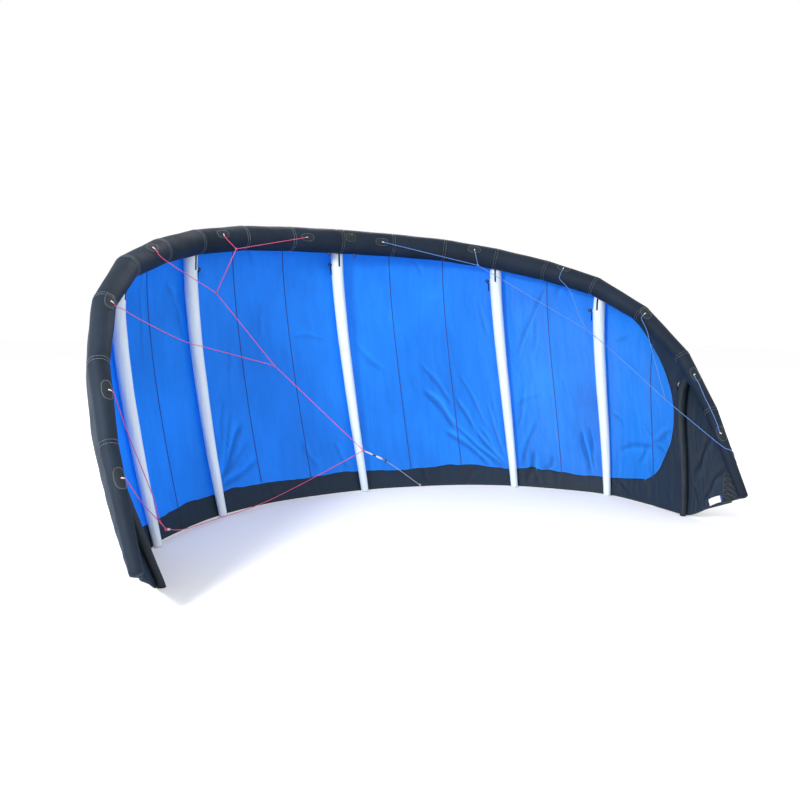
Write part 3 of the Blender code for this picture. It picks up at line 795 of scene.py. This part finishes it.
def bridle_route(row):
    """The middle line of a bridle line, from one end to the other."""
    start, between, end = row[3:]
    side = side_of(row[0])
    stops = [line_point(place, side) for place in (start, *between, end)]
    middle = []
    for place, before, here, after in zip(between, stops, stops[1:], stops[2:]):
        if place in BENDS:
            middle.append(here + KNOT_BEND * unit(before - here))
            middle.append(here)
            middle.append(here + KNOT_BEND * unit(after - here))
        else:
            middle.append(here)
    if is_on_tube(start):
        middle = round_tube(start, (middle + stops[-1:])[0], side) + middle
    if is_on_tube(end):
        middle += reversed(round_tube(end, (stops[:1] + middle)[-1], side))
    first = line_end(row, start, (middle + stops[-1:])[0], side)
    last = line_end(row, end, (stops[:1] + middle)[-1], side)
    return smooth_route([first, *middle, last], LINE_STEP)


def side_frame(path):
    """Tangents, and two directions square to them that turn as little as they can."""
    tangent = unit(np.gradient(path, axis=0))
    first = np.array((0.0, 0.0, 1.0) if abs(tangent[0][2]) < 0.9 else (1.0, 0.0, 0.0))
    out = [unit(first - (first @ tangent[0]) * tangent[0])]
    for t in tangent[1:]:
        out.append(unit(out[-1] - (out[-1] @ t) * t))
    out = np.array(out)
    return tangent, out, np.cross(tangent, out)


def hose(name, path, radii, look, slot_name, sides=12):
    """A closed round tube along a path; radii is one number or one for each point."""
    path = np.asarray(path, float)
    radii = np.broadcast_to(np.asarray(radii, float), (len(path),))
    tangent, out, across = side_frame(path)
    turn = np.linspace(0.0, 2 * math.pi, sides, endpoint=False)
    ring = np.cos(turn)[:, None] * out[:, None] + np.sin(turn)[:, None] * across[:, None]
    points = path[:, None] + radii[:, None, None] * ring
    uv = np.stack(np.broadcast_arrays(run_along(path)[:, None], turn * radii.max()), axis=-1)
    return new_mesh(name, points, tube_faces(len(path), sides), look, slot_name, uv=uv)


def stretch_of(path, low, high, count):
    """Points evenly spaced from low to high metres along a path."""
    run = run_along(path)
    return at_runs(np.linspace(low, min(high, run[-1]), count), run, path)


def sleeve(name, path, thin, thick, look, slot_name):
    """A sleeve with rounded ends over part of a line."""
    swell = np.sin(np.linspace(0.0, math.pi, len(path))) ** 0.25
    return hose(name, path, thin + (thick - thin) * swell, look, slot_name)


def knot(name, centre, direction, radius, strand, look, slot_name):
    """A small tight knot: a closed strand wound two and three times round."""
    t = np.linspace(0.0, 2 * math.pi, 49)
    ring = 2.0 + np.cos(3 * t)
    shape = np.stack((ring * np.cos(2 * t), ring * np.sin(2 * t), 1.3 * np.sin(3 * t)), axis=-1)
    shape *= radius / 3.0
    z = unit(np.asarray(direction, float))
    x = unit(np.cross(z, (0.3, 1.0, 0.2)))
    y = np.cross(z, x)
    path = centre + shape[:, :1] * x + shape[:, 1:2] * y + shape[:, 2:] * z
    low = strand + 0.0004 - path[:, 2].min()
    return hose(name, path + (0.0, 0.0, max(0.0, low)), strand, look, slot_name, 8)


cord_pieces = {}
ROUTES = {row[0]: bridle_route(row) for row in BRIDLE}
for row in BRIDLE:
    name, colour = row[:2]
    curve = bpy.data.curves.new("cord_" + name, "CURVE")
    curve.dimensions = "3D"
    curve.bevel_depth = 0.5 * LINE_DIAMETER
    curve.bevel_resolution = 3
    curve.use_fill_caps = True
    spline = curve.splines.new("POLY")
    spline.points.add(len(ROUTES[name]) - 1)
    for target, point in zip(spline.points, ROUTES[name]):
        target.co = (*point, 1.0)
    spline.use_smooth = True
    curve.materials.append(LOOKS[colour])
    cord = bpy.data.objects.new("cord_" + name, curve)
    bpy.context.scene.collection.objects.link(cord)
    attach(cord, "root")
    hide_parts(name)
    cord_pieces[name] = [cord]

# Knots where lines meet, as CAD node of the line they are tied on, knots, colour.
for node, places, colour in (
    ("line_front_l", ("upper_l", "middle_l", "lower_l", "front_l"), "pink"),
    ("line_rear_l", ("rear_l",), "pink"),
    ("line_front_r", ("upper_r", "middle_r", "lower_r"), "blue"),
):
    route = ROUTES[node]
    for place in places:
        i = int(np.argmin(np.linalg.norm(route - line_point(place, 1), axis=1)))
        heading = route[min(i + 1, len(route) - 1)] - route[max(i - 1, 0)]
        cord_pieces[node].append(
            knot("knot_" + place, route[i], heading, 0.0085, 0.0026, colour, "line_" + colour)
        )

# The pigtail and the connector on the leader, as start and end in metres along it,
# radius, colour. Then the knot beyond them and the one at the loose end.
leader = ROUTES["line_leader"]
for number, (low, high, radius, look) in enumerate(
    (
        (0.012, 0.088, 0.0062, "white_sleeve"),
        (0.092, 0.114, 0.0066, "black_sleeve"),
        (0.120, 0.182, 0.0086, "white_sleeve"),
    ),
    start=1,
):
    path = stretch_of(leader, low, high, 14)
    cord_pieces["line_leader"].append(
        sleeve(f"leader_sleeve_{number}", path, 0.56 * LINE_DIAMETER, radius, look, "line_grey")
    )
for number, (spot, size, look) in enumerate(
    (
        (stretch_of(leader, 0.215, 0.219, 2)[0], 0.0125, "black_sleeve"),
        (leader[-1], 0.0080, "grey"),
    ),
    start=1,
):
    cord_pieces["line_leader"].append(
        knot(f"leader_knot_{number}", spot, (1.0, 0.1, -0.3), size, 0.0027, look, "line_grey")
    )

# The pale connector at the end of the cross line.
path = stretch_of(ROUTES["line_cross_l"][::-1], 0.012, 0.052, 12)
cord_pieces["line_cross_l"].append(
    sleeve("rear_connector", path, 0.0030, 0.0080, "white_sleeve", "label_white")
)

# A short pale loop where each line is tied to the tube.
TUBE_ENDS = [
    (row[0], end, place)
    for row in BRIDLE
    for end, place in (("start", row[3]), ("end", row[5]))
    if is_on_tube(place)
]
for name, end, _ in TUBE_ENDS:
    path = stretch_of(ROUTES[name][:: 1 if end == "start" else -1], 0.0012, 0.020, 6)
    cord_pieces[name].append(
        hose(f"loop_{name}_{end}", path, 0.0036, "white_sleeve", "label_white", 10)
    )

for row in BRIDLE:
    name, lay = row[0], row[2]
    route = ROUTES[name]
    float(run_along(route)[-1])
    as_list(cord_pieces[name][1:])

# ------------------------------------------------------------------ the cloth


def band_height(u):
    """The share of the rib where the blue ends; it wanders with the puckers of the band."""
    height = np.interp(np.abs(u), [row[0] for row in BAND], [row[1] for row in BAND])
    drift = sum(share * np.exp(-(((u - at) / wide) ** 2)) for at, wide, share in BAND_DRIFT)
    drift = drift + 0.0005 * np.sin(23.0 * u + 2.0 * np.sin(4.0 * u))
    return height + drift * ease((4.95 - np.abs(u)) / 0.4)


def blue_limit(v):
    """The station where the blue cloth ends, its corners rounded off."""
    at, limit = np.array(BLUE_END).T
    near = [np.interp(v + step, at, limit) for step in (-0.026, -0.013, 0.0, 0.013, 0.026)]
    rounding = np.interp(v, (0.0, 0.04, 0.86, 0.90), (0.0, 1.0, 1.0, 0.0))
    return rounding * (sum(near) / 5.0 - near[2]) + near[2]


def cloth_uv(u, v):
    u, v = np.broadcast_arrays(u, v)
    return np.stack((across_length(u), v * rib_length(u)), axis=-1)


def sheet_area(points):
    a = points[1:, 1:] - points[:-1, :-1]
    b = points[1:, :-1] - points[:-1, 1:]
    return float(0.5 * np.linalg.norm(np.cross(a, b), axis=-1).sum())


def cloth_sheet(name, u, v, lift, look, slot_name, nodes):
    # Painted shade in the crease troughs and painted highlight on their ridges, stored on the points for
    # the cloth's colour.
    fold = np.clip(creases(u, v) / CREASE_FULL_SHADE, -1.0, 1.0)
    faces = grid_faces(*u.shape)
    made = new_mesh(name, cloth(u, v, lift), faces, look, slot_name, uv=cloth_uv(u, v), fold=fold)
    solid = made.modifiers.new("cloth thickness", "SOLIDIFY")
    solid.thickness = CLOTH
    solid.offset = 0.0
    solid.use_even_offset = False
    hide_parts(*nodes)
    area = sheet_area(canopy(u, v))


# The blue cloth, from tip to tip. Its columns run straight to station 5, and beyond
# it they close up towards the rounded end.
rows = np.linspace(0.0, 1.0, BLUE_ROWS) ** 1.05
left_inner = np.linspace(-5.0, 0.0, 5 * 22, endpoint=False)
inner = np.concatenate((left_inner, np.linspace(0.0, 5.0, 5 * 31 + 1)))
outer = np.linspace(0.0, 1.0, 34)[1:]
wing_bottom = BAND[1][1] + outer * (BAND[3][1] - BAND[1][1])
wing_v = rows[:, None] * wing_bottom[None, :]
wing_u = 5.0 + outer[None, :] * (blue_limit(wing_v) - 5.0)
inner_v = rows[:, None] * band_height(inner)[None, :]
blue_u = np.hstack((-wing_u[:, ::-1], np.broadcast_to(inner, inner_v.shape), wing_u))
blue_v = np.hstack((wing_v[:, ::-1], inner_v, wing_v))
cloth_sheet(
    "canopy_blue", blue_u, blue_v, CLOTH, "blue_cloth", "canopy_blue",
    [n for n in NODES if n.startswith("blue_")],
)

# The black band along the trailing edge lies on the hollow side of the blue cloth.
OVERLAP = 0.006
band_u = np.linspace(-6.0, 6.0, 12 * 24 + 1)
band_rows = np.linspace(0.0, 1.0, 14)
band_top = band_height(band_u) - OVERLAP
band_v = band_top[None, :] + band_rows[:, None] * (1.0 - band_top[None, :])
cloth_sheet(
    "trailing_band", np.broadcast_to(band_u, band_v.shape), band_v, BLACK_LIFT, "black_cloth",
    "canopy_black", [n for n in NODES if n.startswith("band_")],
)

# The black tips, round the end of the blue cloth and out to the end of the tube.
tip_rows = np.concatenate((np.linspace(0.0, 0.90, 90), np.linspace(0.905, 1.0, 14)))
tip_edge = np.where(tip_rows < 0.9, blue_limit(tip_rows) - 0.012, 5.96)
tip_edge[0] = 5.0
tip_u = tip_edge[:, None] + np.linspace(0.0, 1.0, 110) * (LAST - tip_edge[:, None])
tip_v = np.broadcast_to(tip_rows[:, None], tip_u.shape)
for side, label in ((1, "r"), (-1, "l")):
    cloth_sheet(
        "tip_cloth_" + label, side * tip_u, tip_v, BLACK_LIFT, "black_cloth", "canopy_black",
        [f"tip_{label}_inner", f"tip_{label}_outer"],
    )

# ------------------------------------------------------------------- ribbons


def ribbon(name, path, normal, half, low, high, look, slot_name):
    """A flat closed strip along a path, from low to high over it."""
    path, normal = np.asarray(path, float), np.asarray(normal, float)
    tangent = unit(np.gradient(path, axis=0))
    side = unit(np.cross(tangent, normal))
    profile = ((-half, low), (-half, high), (half, high), (half, low))
    corners = np.stack([path + across * side + up * normal for across, up in profile], axis=1)
    corners[..., 2] = np.maximum(corners[..., 2], 0.0004)
    round_it = np.array((0.0, 0.001, 0.02, 0.021))
    uv = np.stack(np.broadcast_arrays(run_along(path)[:, None], round_it), axis=-1)
    new_mesh(name, corners, tube_faces(len(path), 4), look, slot_name, smooth=False, uv=uv)


def black_seam(name, u, v):
    """A flat felled seam on the hollow side of the black cloth."""
    path = cloth(u, v, -0.5 * CLOTH)
    normal = cloth_normal(u, v)
    ribbon(name, path, normal, SEAM_HALF, -0.0017, 0.0015, "black_seam", "canopy_black")


STITCH_ROOT, STITCH_TOP = 0.0004, 0.0012
STITCH_FACES = ((0, 1, 2, 3), (7, 6, 5, 4), (0, 4, 5, 1), (1, 5, 6, 2), (2, 6, 7, 3), (3, 7, 4, 0))


def stitching(name, runs, look, slot_name, pitch, length, width=0.0015):
    """Short raised stitches along runs of (points, normals), as one piece."""
    points, faces = [], []
    for path, normal in runs:
        path, normal = np.array(path, float), np.array(normal, float)
        run = run_along(path)
        count = int(run[-1] / pitch)
        middles = (np.arange(count) + 0.5) * run[-1] / count
        first = at_runs(middles - 0.5 * length, run, path)
        last = at_runs(middles + 0.5 * length, run, path)
        up = unit(at_runs(middles, run, normal))
        across = unit(np.cross(last - first, up)) * 0.5 * width
        for i in range(count):
            base = len(points)
            for spot in (first[i], last[i]):
                points += [
                    spot - across[i] - STITCH_ROOT * up[i],
                    spot + across[i] - STITCH_ROOT * up[i],
                    spot + 0.5 * across[i] + STITCH_TOP * up[i],
                    spot - 0.5 * across[i] + STITCH_TOP * up[i],
                ]
            faces += [[base + f for f in quad] for quad in STITCH_FACES]
    face_outwards(new_mesh(name, points, faces, look, slot_name, smooth=False))


black_stitches = []
for side, label in ((1, "r"), (-1, "l")):
    for k in SEAMS:
        # The outermost seam starts and ends at the curved edge, and slants.
        slanted = k == SEAMS[-1]
        low, high = (0.14, 0.875) if slanted else (0.004, float(band_height(k)) - 0.004)
        v = np.linspace(low, high, 150)
        u = side * (k + (0.34 - 0.20 * v if slanted else 0.0 * v))
        ribbon(
            f"seam_{label}_{k}", cloth(u, v, 0.5 * CLOTH), cloth_normal(u, v), SEAM_HALF,
            -0.0019, 0.0019, "seam", "canopy_blue",
        )
        v = np.linspace(max(high + 0.012, 0.9), 0.995, 20)
        black_seam(f"band_seam_{label}_{k}", np.full(v.shape, float(side * k)), v)
    # The seam of the black tip, and the stitching along the curved edge of the blue.
    v = np.linspace(0.02, 0.985, 110)
    black_seam(f"tip_seam_{label}_8", np.full(v.shape, float(side * 8)), v)
    v = np.linspace(0.03, 0.895, 160)
    for inset in (0.020, 0.042):
        u = side * (blue_limit(v) + inset)
        black_stitches.append((cloth(u, v, -STITCHED), -cloth_normal(u, v)))
u = np.linspace(-5.9, 5.9, 560)
for inset in (0.004, 0.009):
    v = band_height(u) + inset
    black_stitches.append((cloth(u, v, -STITCHED), -cloth_normal(u, v)))
stitching("edge_stitching", black_stitches, "black_seam", "canopy_black", 0.016, 0.010, 0.0014)

# A folded hem binds the trailing edge from tip to tip.
u = np.linspace(-8.98, 8.98, 520)
v = np.full(u.shape, 0.9935)
ribbon(
    "trailing_hem", cloth(u, v, -0.0004), cloth_normal(u, v), 0.0075,
    -0.0020, 0.0020, "black_seam", "canopy_black",
)

# -------------------------------------------------------------- leading edge

TUBE_SIDES = 56
RING_STEP = 0.014


def tube_rings():
    """Rings of the right half of the leading edge, from the middle to the rounded tip, with its seams.
    """
    rings, runs = [], []
    turn = np.linspace(0.0, 2 * math.pi, TUBE_SIDES, endpoint=False)
    travelled = 0.0
    for k in range(LAST):
        span = float(LE_SPANS[k])
        count = max(6, round(span / RING_STEP))
        for j in range(count + (k == LAST - 1)):
            s = j / count
            ring = []
            for i in (k, k + 1):
                out = np.cos(turn)[:, None] * NORMAL[i] - np.sin(turn)[:, None] * AFT[i]
                ring.append((LE[i] + RADIUS[i] * out, out))
            out = unit(ring[0][1] + s * (ring[1][1] - ring[0][1]))
            point = ring[0][0] + s * (ring[1][0] - ring[0][0])
            near = min(s, 1.0 - s) * span
            station = k if s < 0.5 else k + 1
            radius = RADIUS[k] + s * (RADIUS[k + 1] - RADIUS[k])
            wave = np.sin(17 * turn + 2.3 * station) + 0.7 * np.sin(29 * turn + 1.1 * station)
            pinch = -0.0016 * math.exp(-((near / 0.007) ** 2))
            pucker = 0.0011 * wave * math.exp(-near / 0.035) * (1.0 if near > 0.004 else 0.4)
            slack = 0.0009 * np.sin(3 * turn + 9.0 * s + k) * math.sin(math.pi * s)
            # The tube creases a little across the hollow side of each bend.
            inside = np.clip(-np.cos(turn + 0.5), 0.0, 1.0) ** 2
            crease = -0.0016 * inside * math.exp(-((near - 0.030) / 0.012) ** 2)
            rings.append(point + ((pinch + pucker + slack + crease) * radius / 0.08)[:, None] * out)
            runs.append(travelled + s * span)
        travelled += span
    tip = rings[-1]
    centre = tip.mean(axis=0)
    for share, ahead in ((0.93, 0.004), (0.72, 0.009), (0.36, 0.0115)):
        rings.append(centre + share * (tip - centre) + ahead * ALONG[-1])
        runs.append(travelled + ahead)
    return np.array(rings), np.array(runs), turn


right, runs, turn = tube_rings()
left = (right[1:] * MIRROR)[::-1]
rings = np.concatenate((left, right))
runs = np.concatenate((-runs[1:][::-1], runs))
faces = tube_faces(len(rings), TUBE_SIDES)
uv = np.stack(np.broadcast_arrays(runs[:, None], turn * 0.08), axis=-1)
leading_edge = new_mesh("leading_edge", rings, faces, "tube", "tube_black", uv=uv)
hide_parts(*[n for n in NODES if n.startswith("le_")])

# A row of pale stitches on each side of every seam of the tube.
SEAM_TO_STITCHES = 0.010
tube_stitches = []
for side in (1, -1):
    for k in range(LAST):
        stations = [k + SEAM_TO_STITCHES / LE_SPANS[k]]
        if k > 0:
            stations.append(k - SEAM_TO_STITCHES / LE_SPANS[k - 1])
        for u in stations:
            places = [tube_place(u, clock, side, 0.0004) for clock in range(0, 361, 5)]
            tube_stitches.append(zip(*places))
stitching("tube_stitching", tube_stitches, "thread", "label_white", 0.013, 0.009, 0.0016)

# -------------------------------------------------------------------- struts

STRUT_SIDES = 36
STRUT_ROWS = 110


def strut_axis(k, v, top, foot):
    """Centres, radii, outward directions and headings of a strut; past v 1 it runs straight."""
    held = np.minimum(v, 1.0)
    low, high = np.maximum(held - 0.004, 0.0), np.minimum(held + 0.004, 1.0)
    station = k + LEAN[k] * (1.0 - held)
    slope = canopy(k + LEAN[k] * (1.0 - high), high) - canopy(k + LEAN[k] * (1.0 - low), low)
    outward = cloth_normal(station, held)
    radius = top + (foot - top) * held**2
    standoff = (1.01 + 0.03 * held**2) * radius + STRUT_OFF_CLOTH + LEAN_OFF_CLOTH * LEAN[k]
    centre = canopy(station, held) - standoff[:, None] * outward
    heading = unit(slope)
    return centre + (np.maximum(v - 1.0, 0.0) * 2.0)[:, None] * heading, radius, outward, heading


def strut_surface(k, v, angle, top, foot, lift=0.0):
    """Points and outward directions on a strut; angle 0 faces the cloth."""
    centre, radius, outward, slope = strut_axis(k, v, top, foot)
    out = unit(np.cross(slope, ALONG[k]))
    out = out * np.sign((out * outward).sum(axis=1, keepdims=True))
    across = np.cross(slope, out)
    way = np.cos(angle)[:, None] * out + np.sin(angle)[:, None] * across
    ripple = 0.0005 * np.sin(9.0 * angle + 40.0 * v) + 0.0006 * np.sin(5.0 * angle - 23.0 * v + k)
    ripple = ripple * ease((np.abs(angle - math.pi) < 2.4).astype(float))
    return centre + (radius + ripple + lift)[:, None] * way, way


def bisect(low, high, above):
    """The share at which a test turns true, for many columns at once."""
    for _ in range(26):
        middle = 0.5 * (low + high)
        hit = above(middle)
        high = np.where(hit, middle, high)
        low = np.where(hit, low, middle)
    return 0.5 * (low + high)


def make_strut(k, top, foot, colour, side, node):
    angle = np.linspace(0.0, 2 * math.pi, STRUT_SIDES, endpoint=False)
    start = bisect(
        np.full(angle.shape, 0.0),
        np.full(angle.shape, 0.16),
        lambda v: tube_clearance(strut_surface(k, v, angle, top, foot)[0], 1) > 0.0006,
    )
    finish = bisect(
        np.full(angle.shape, 0.90),
        np.full(angle.shape, 1.06),
        lambda v: strut_surface(k, v, angle, top, foot)[0][:, 2] < LOWEST,
    )
    points, uvs = [], []
    for t in np.linspace(0.0, 1.0, STRUT_ROWS):
        v = start + t * (finish - start)
        slim = -0.0022 * math.exp(-((1.0 - t) / 0.006) ** 2)
        row, _ = strut_surface(k, v, angle, top, foot, slim)
        points.append(row)
        uvs.append(np.stack((v * CHORD[k, 0], angle * top), axis=-1))
    points = np.array(points)
    points[..., 2] = np.maximum(points[..., 2], 0.0010)
    points = points * sided(side)
    faces = tube_faces(STRUT_ROWS, STRUT_SIDES)
    made = new_mesh("shown_" + node, points, faces, colour, "strut_" + colour, uv=uvs)
    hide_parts(node)


def on_strut(k, v, degrees, top, foot, side):
    v = np.atleast_1d(v)
    angle = np.full(v.shape, math.radians(degrees))
    point, way = strut_surface(k, v, angle, top, foot)
    return point * sided(side), way * sided(side)


def disc(name, centre, axis, profile, look, slot_name, sides=24):
    """A turned piece: profile holds (radius, height) pairs from the base out."""
    z = unit(np.asarray(axis, float))
    x = unit(np.cross(z, (0.31, 0.2, 1.0)))
    y = np.cross(z, x)
    turn = np.linspace(0.0, 2 * math.pi, sides, endpoint=False)
    points = [centre + r * (math.cos(t) * x + math.sin(t) * y) + h * z for r, h in profile for t in turn]
    made = new_mesh(name, points, tube_faces(len(profile), sides), look, slot_name)
    bevel = made.modifiers.new("soft edges", "BEVEL")
    bevel.width = 0.0006
    bevel.segments = 2
    bevel.limit_method = "ANGLE"


def strap(name, start, end, arch, half):
    """A short tab of webbing that hangs from start to end, arched upwards."""
    t = np.linspace(0.0, 1.0, 14)[:, None]
    path = start + t * (end - start) - DOWN * arch * 4 * t * (1 - t)
    normal = np.broadcast_to(unit(np.cross(end - start, (1.0, 0.3, 0.0))), path.shape)
    ribbon(name, path, normal, half, -0.0008, 0.0008, "webbing", "tube_black")


# Turned shapes, as radius and height from the base out.
VALVE_FLANGE = ((0.019, 0.0), (0.019, 0.0022), (0.011, 0.0032), (0.0085, 0.0050), (0.0, 0.0050))
VALVE_PLUG = (
    (0.0075, 0.0), (0.0075, 0.013), (0.0098, 0.0135), (0.0098, 0.019), (0.0080, 0.021), (0.0, 0.021)
)
VALVE_AT = 0.180  # share of the rib
VALVE_SIDES = (180.0 - 78.0, 180.0 + 78.0)
STRIP_LENGTH = 0.165
DOWN = np.array((0.0, 0.0, -1.0))
for name, k, top, foot, _, colour in STRUTS:
    for side, label in ((1, "r"), (-1, "l")) if k else ((1, ""),):
        tag = f"{name}_{label}" if label else name
        make_strut(k, top, foot, colour, side, "strut_" + tag)
        if colour == "white":
            # A dark strip runs down the hollow side from the tube.
            first = bisect(
                np.array([0.0]),
                np.array([0.16]),
                lambda v: tube_clearance(on_strut(k, v, 180.0, top, foot, 1)[0], 1) > 0.001,
            )[0]
            v = np.linspace(first, first + STRIP_LENGTH / CHORD[k, 0], 30)
            path, way = on_strut(k, v, 180.0, top, foot, side)
            ribbon(f"strut_strip_{tag}", path, way, 0.0070, -0.0006, 0.0016, "webbing", "tube_black")
        # The inflation valve sits on the side that faces the kite's middle, and on the
        # middle strut on the left. It has a plug on a loop, with a strap hanging from it.
        places = [on_strut(k, VALVE_AT, degrees, top, foot, side) for degrees in VALVE_SIDES]
        spot, way = min(places, key=lambda place: place[1][0, 0] * side)
        spot, way = spot[0], way[0]
        disc(f"valve_flange_{tag}", spot - 0.0008 * way, way, VALVE_FLANGE, "flange", "strut_white")
        disc(f"valve_plug_{tag}", spot + 0.0030 * way, way, VALVE_PLUG, "plug", "tube_black")
        cap = spot + 0.020 * way
        strap(f"valve_strap_{tag}", cap, cap + 0.085 * DOWN - 0.012 * way, 0.006, 0.006)
        t = np.linspace(0.0, 2 * math.pi, 25)[:, None]
        loop = cap + 0.009 * way * (1 - np.cos(t)) + 0.011 * DOWN * np.sin(t)
        loop = loop + 0.002 * unit(np.cross(way, DOWN))
        hose(f"valve_loop_{tag}", loop, 0.0045, "plug", "tube_black", 8)

# ---------------------------------------------------- patches on the tube


PATCH_SIDES = 40
PATCH_THICK = 0.0011
PATCH_SQUARE = 2.6  # 2 is an ellipse, and more is squarer
# Rings of a patch from its sewn edge inwards, as share of its size, height.
PATCH_RINGS = (
    (1.0, -0.0012),
    (1.0, 0.4 * PATCH_THICK),
    *((share, PATCH_THICK) for share in (0.965, 0.80, 0.5, 0.2)),
)


def tube_patch(name, u, clock, side, length, width):
    """A rounded patch sewn on the tube. Gives the line of its stitching, with normals."""
    span = LE_SPANS[min(int(u), LAST - 1)]
    radius = float(np.interp(u, range(LAST + 1), RADIUS))
    turn = np.linspace(0.0, 2 * math.pi, PATCH_SIDES, endpoint=False)

    def spot(share, t, lift):
        c, s = math.cos(t), math.sin(t)
        corner = (abs(c) ** PATCH_SQUARE + abs(s) ** PATCH_SQUARE) ** (1.0 / PATCH_SQUARE)
        reach = share / corner
        along = 0.5 * length * reach * c / span
        round_by = math.degrees(0.5 * width * reach * s / radius)
        return tube_place(u + along, clock + round_by, side, lift)

    points = [spot(share, t, lift)[0] for share, lift in PATCH_RINGS for t in turn]
    faces = tube_faces(len(PATCH_RINGS), PATCH_SIDES)
    new_mesh(name, points, faces, "patch", "tube_black", uv=[(p[0] + p[1], p[2]) for p in points])
    return zip(*[spot(0.88, t, PATCH_THICK) for t in (*turn, turn[0])])


MAIN_VALVE = (0.14, 176.0)
patch_stitches = [
    tube_patch(f"patch_{name}_{end}", *place, side_of(name), 0.125, 0.070)
    for name, end, place in TUBE_ENDS
]
patch_stitches.append(tube_patch("patch_middle", *MAIN_VALVE, 1, 0.10, 0.085))
stitching("patch_stitching", patch_stitches, "thread", "label_white", 0.012, 0.0085, 0.0016)

# The main inflation valve, and the two small loops under the middle of the tube.
spot, way = tube_place(*MAIN_VALVE, 1, 0.0)
flange = [(1.5 * r, 1.1 * h) for r, h in VALVE_FLANGE]
plug = [(1.35 * r, h) for r, h in VALVE_PLUG]
disc("main_valve_flange", spot, way, flange, "plug", "tube_black")
disc("main_valve_plug", spot + 0.004 * way, way, plug, "plug", "tube_black")
for number, (u, side) in enumerate(((0.24, -1), (0.26, 1)), start=1):
    spot, way = tube_place(u, 268.0, side, 0.0)
    t = np.linspace(0.0, 2 * math.pi, 29)[:, None]
    path = spot + 0.016 * (1 - np.cos(t)) * way + 0.013 * np.sin(t) * unit(LE[1] - LE[0])
    hose(f"tube_loop_{number}", path, 0.0042, "black_sleeve", "tube_black", 8)

# ---------------------------------------------------- corners and the label


def cloth_patch(name, corners, lift, thick, look, slot_name, cells=10, curl=0.0):
    """A closed four-sided patch on the hollow side of the cloth, and its outer edge."""
    corners = np.array(corners, float)
    size = cells + 1
    h, s = np.meshgrid(np.linspace(0, 1, size), np.linspace(0, 1, size), indexing="ij")
    upper = corners[0] + s[..., None] * (corners[1] - corners[0])
    lower = corners[2] + s[..., None] * (corners[3] - corners[2])
    place = upper + h[..., None] * (lower - upper)
    u, v = place[..., 0], place[..., 1]
    normal = cloth_normal(u, v)
    base = cloth(u, v)
    raised = curl * (h**3 + 0.35 * np.sin(math.pi * s) * h)
    near = base - (lift + raised)[..., None] * normal
    far = base - (lift + raised + thick)[..., None] * normal
    index = np.arange(size * size).reshape(size, size)
    sheet = grid_faces(size, size)
    loop = [*index[0], *index[1:, -1], *index[-1, -2::-1], *index[-2:0:-1, 0]]
    faces = [*sheet, *(sheet[:, ::-1] + size * size)]
    faces += [(a + size * size, b + size * size, b, a) for a, b in zip(loop, loop[1:] + loop[:1])]
    uv = cloth_uv(u, v)
    made = new_mesh(
        name, np.stack((near, far)), faces, look, slot_name, smooth=False, uv=np.stack((uv, uv))
    )
    face_outwards(made)
    edge = np.array(loop + loop[:1])
    return made, far.reshape(-1, 3)[edge], -normal.reshape(-1, 3)[edge]


LABEL = ((8.00, 0.925), (8.43, 0.860), (8.08, 0.985), (8.52, 0.955))
shown_label, _, _ = cloth_patch(
    "bare_label", LABEL, 0.0012, 0.0009, "label", "label_white", curl=0.0025
)
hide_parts("label_r")
cloth_patch(
    "label_edging", ((8.43, 0.858), (8.475, 0.852), (8.525, 0.957), (8.57, 0.955)), 0.0010, 0.0009,
    "label_edge", "label_white", cells=4,
)
corner_stitches = []
for side, label in ((1, "r"), (-1, "l")):
    corners = np.array(((8.50, 0.50), (8.98, 0.10), (8.56, 0.975), (8.985, 0.975)))
    corners[:, 0] *= side
    _, edge, normal = cloth_patch(
        f"corner_patch_{label}", corners, 0.0008, 0.0010, "patch", "canopy_black"
    )
    corner_stitches.append((edge, normal))
    # Zigzag stitching across the patch.
    for share in (0.18, 0.36, 0.54, 0.72):
        for slant in (-0.12, 0.18):
            a = corners[0] + share * (corners[2] - corners[0])
            b = corners[1] + (share + slant) * (corners[3] - corners[1])
            u, v = (a + np.linspace(0.04, 0.96, 24)[:, None] * (b - a)).T
            normal = cloth_normal(u, v)
            corner_stitches.append((cloth(u, v) - 0.0019 * normal, -normal))
stitching("corner_stitching", corner_stitches, "thread", "label_white", 0.013, 0.009)

# ---------------------------------------------------------- floor and light

bpy.ops.mesh.primitive_plane_add(size=60.0, location=(0.0, 0.0, -0.0006))
floor = bpy.context.object
floor.name = "floor"
floor_shade = Shade("pale_floor", (0.985, 0.985, 0.985), 1.0, Specular_IOR_Level=0.0)
mottle = floor_shade.noise(floor_shade.place(False), 0.5, 2.0)
floor_shade.tint(floor_shade.ramp(mottle, 0.3, 0.7), 0.995, 1.005)
floor.data.materials.append(floor_shade.material)

world = bpy.data.worlds.new("studio")
world.use_nodes = True
world.node_tree.nodes["Background"].inputs[0].default_value = (1.0, 1.0, 1.0, 1.0)
world.node_tree.nodes["Background"].inputs[1].default_value = 1.0
bpy.context.scene.world = world


def area_light(name, location, target, size, power):
    data = bpy.data.lights.new(name, "AREA")
    data.size = size
    data.energy = power
    light = bpy.data.objects.new(name, data)
    light.location = location
    aim = Vector(target) - Vector(location)
    light.rotation_euler = aim.to_track_quat("-Z", "Y").to_euler()
    bpy.context.scene.collection.objects.link(light)


area_light("key_left", (-6.2, -2.6, 4.4), (0.8, 0.4, 0.9), 1.4, 440.0)
area_light("behind", (2.6, 5.5, 4.6), (0.6, 0.6, 0.9), 3.0, 300.0)
bpy.context.scene.view_settings.view_transform = "Standard"
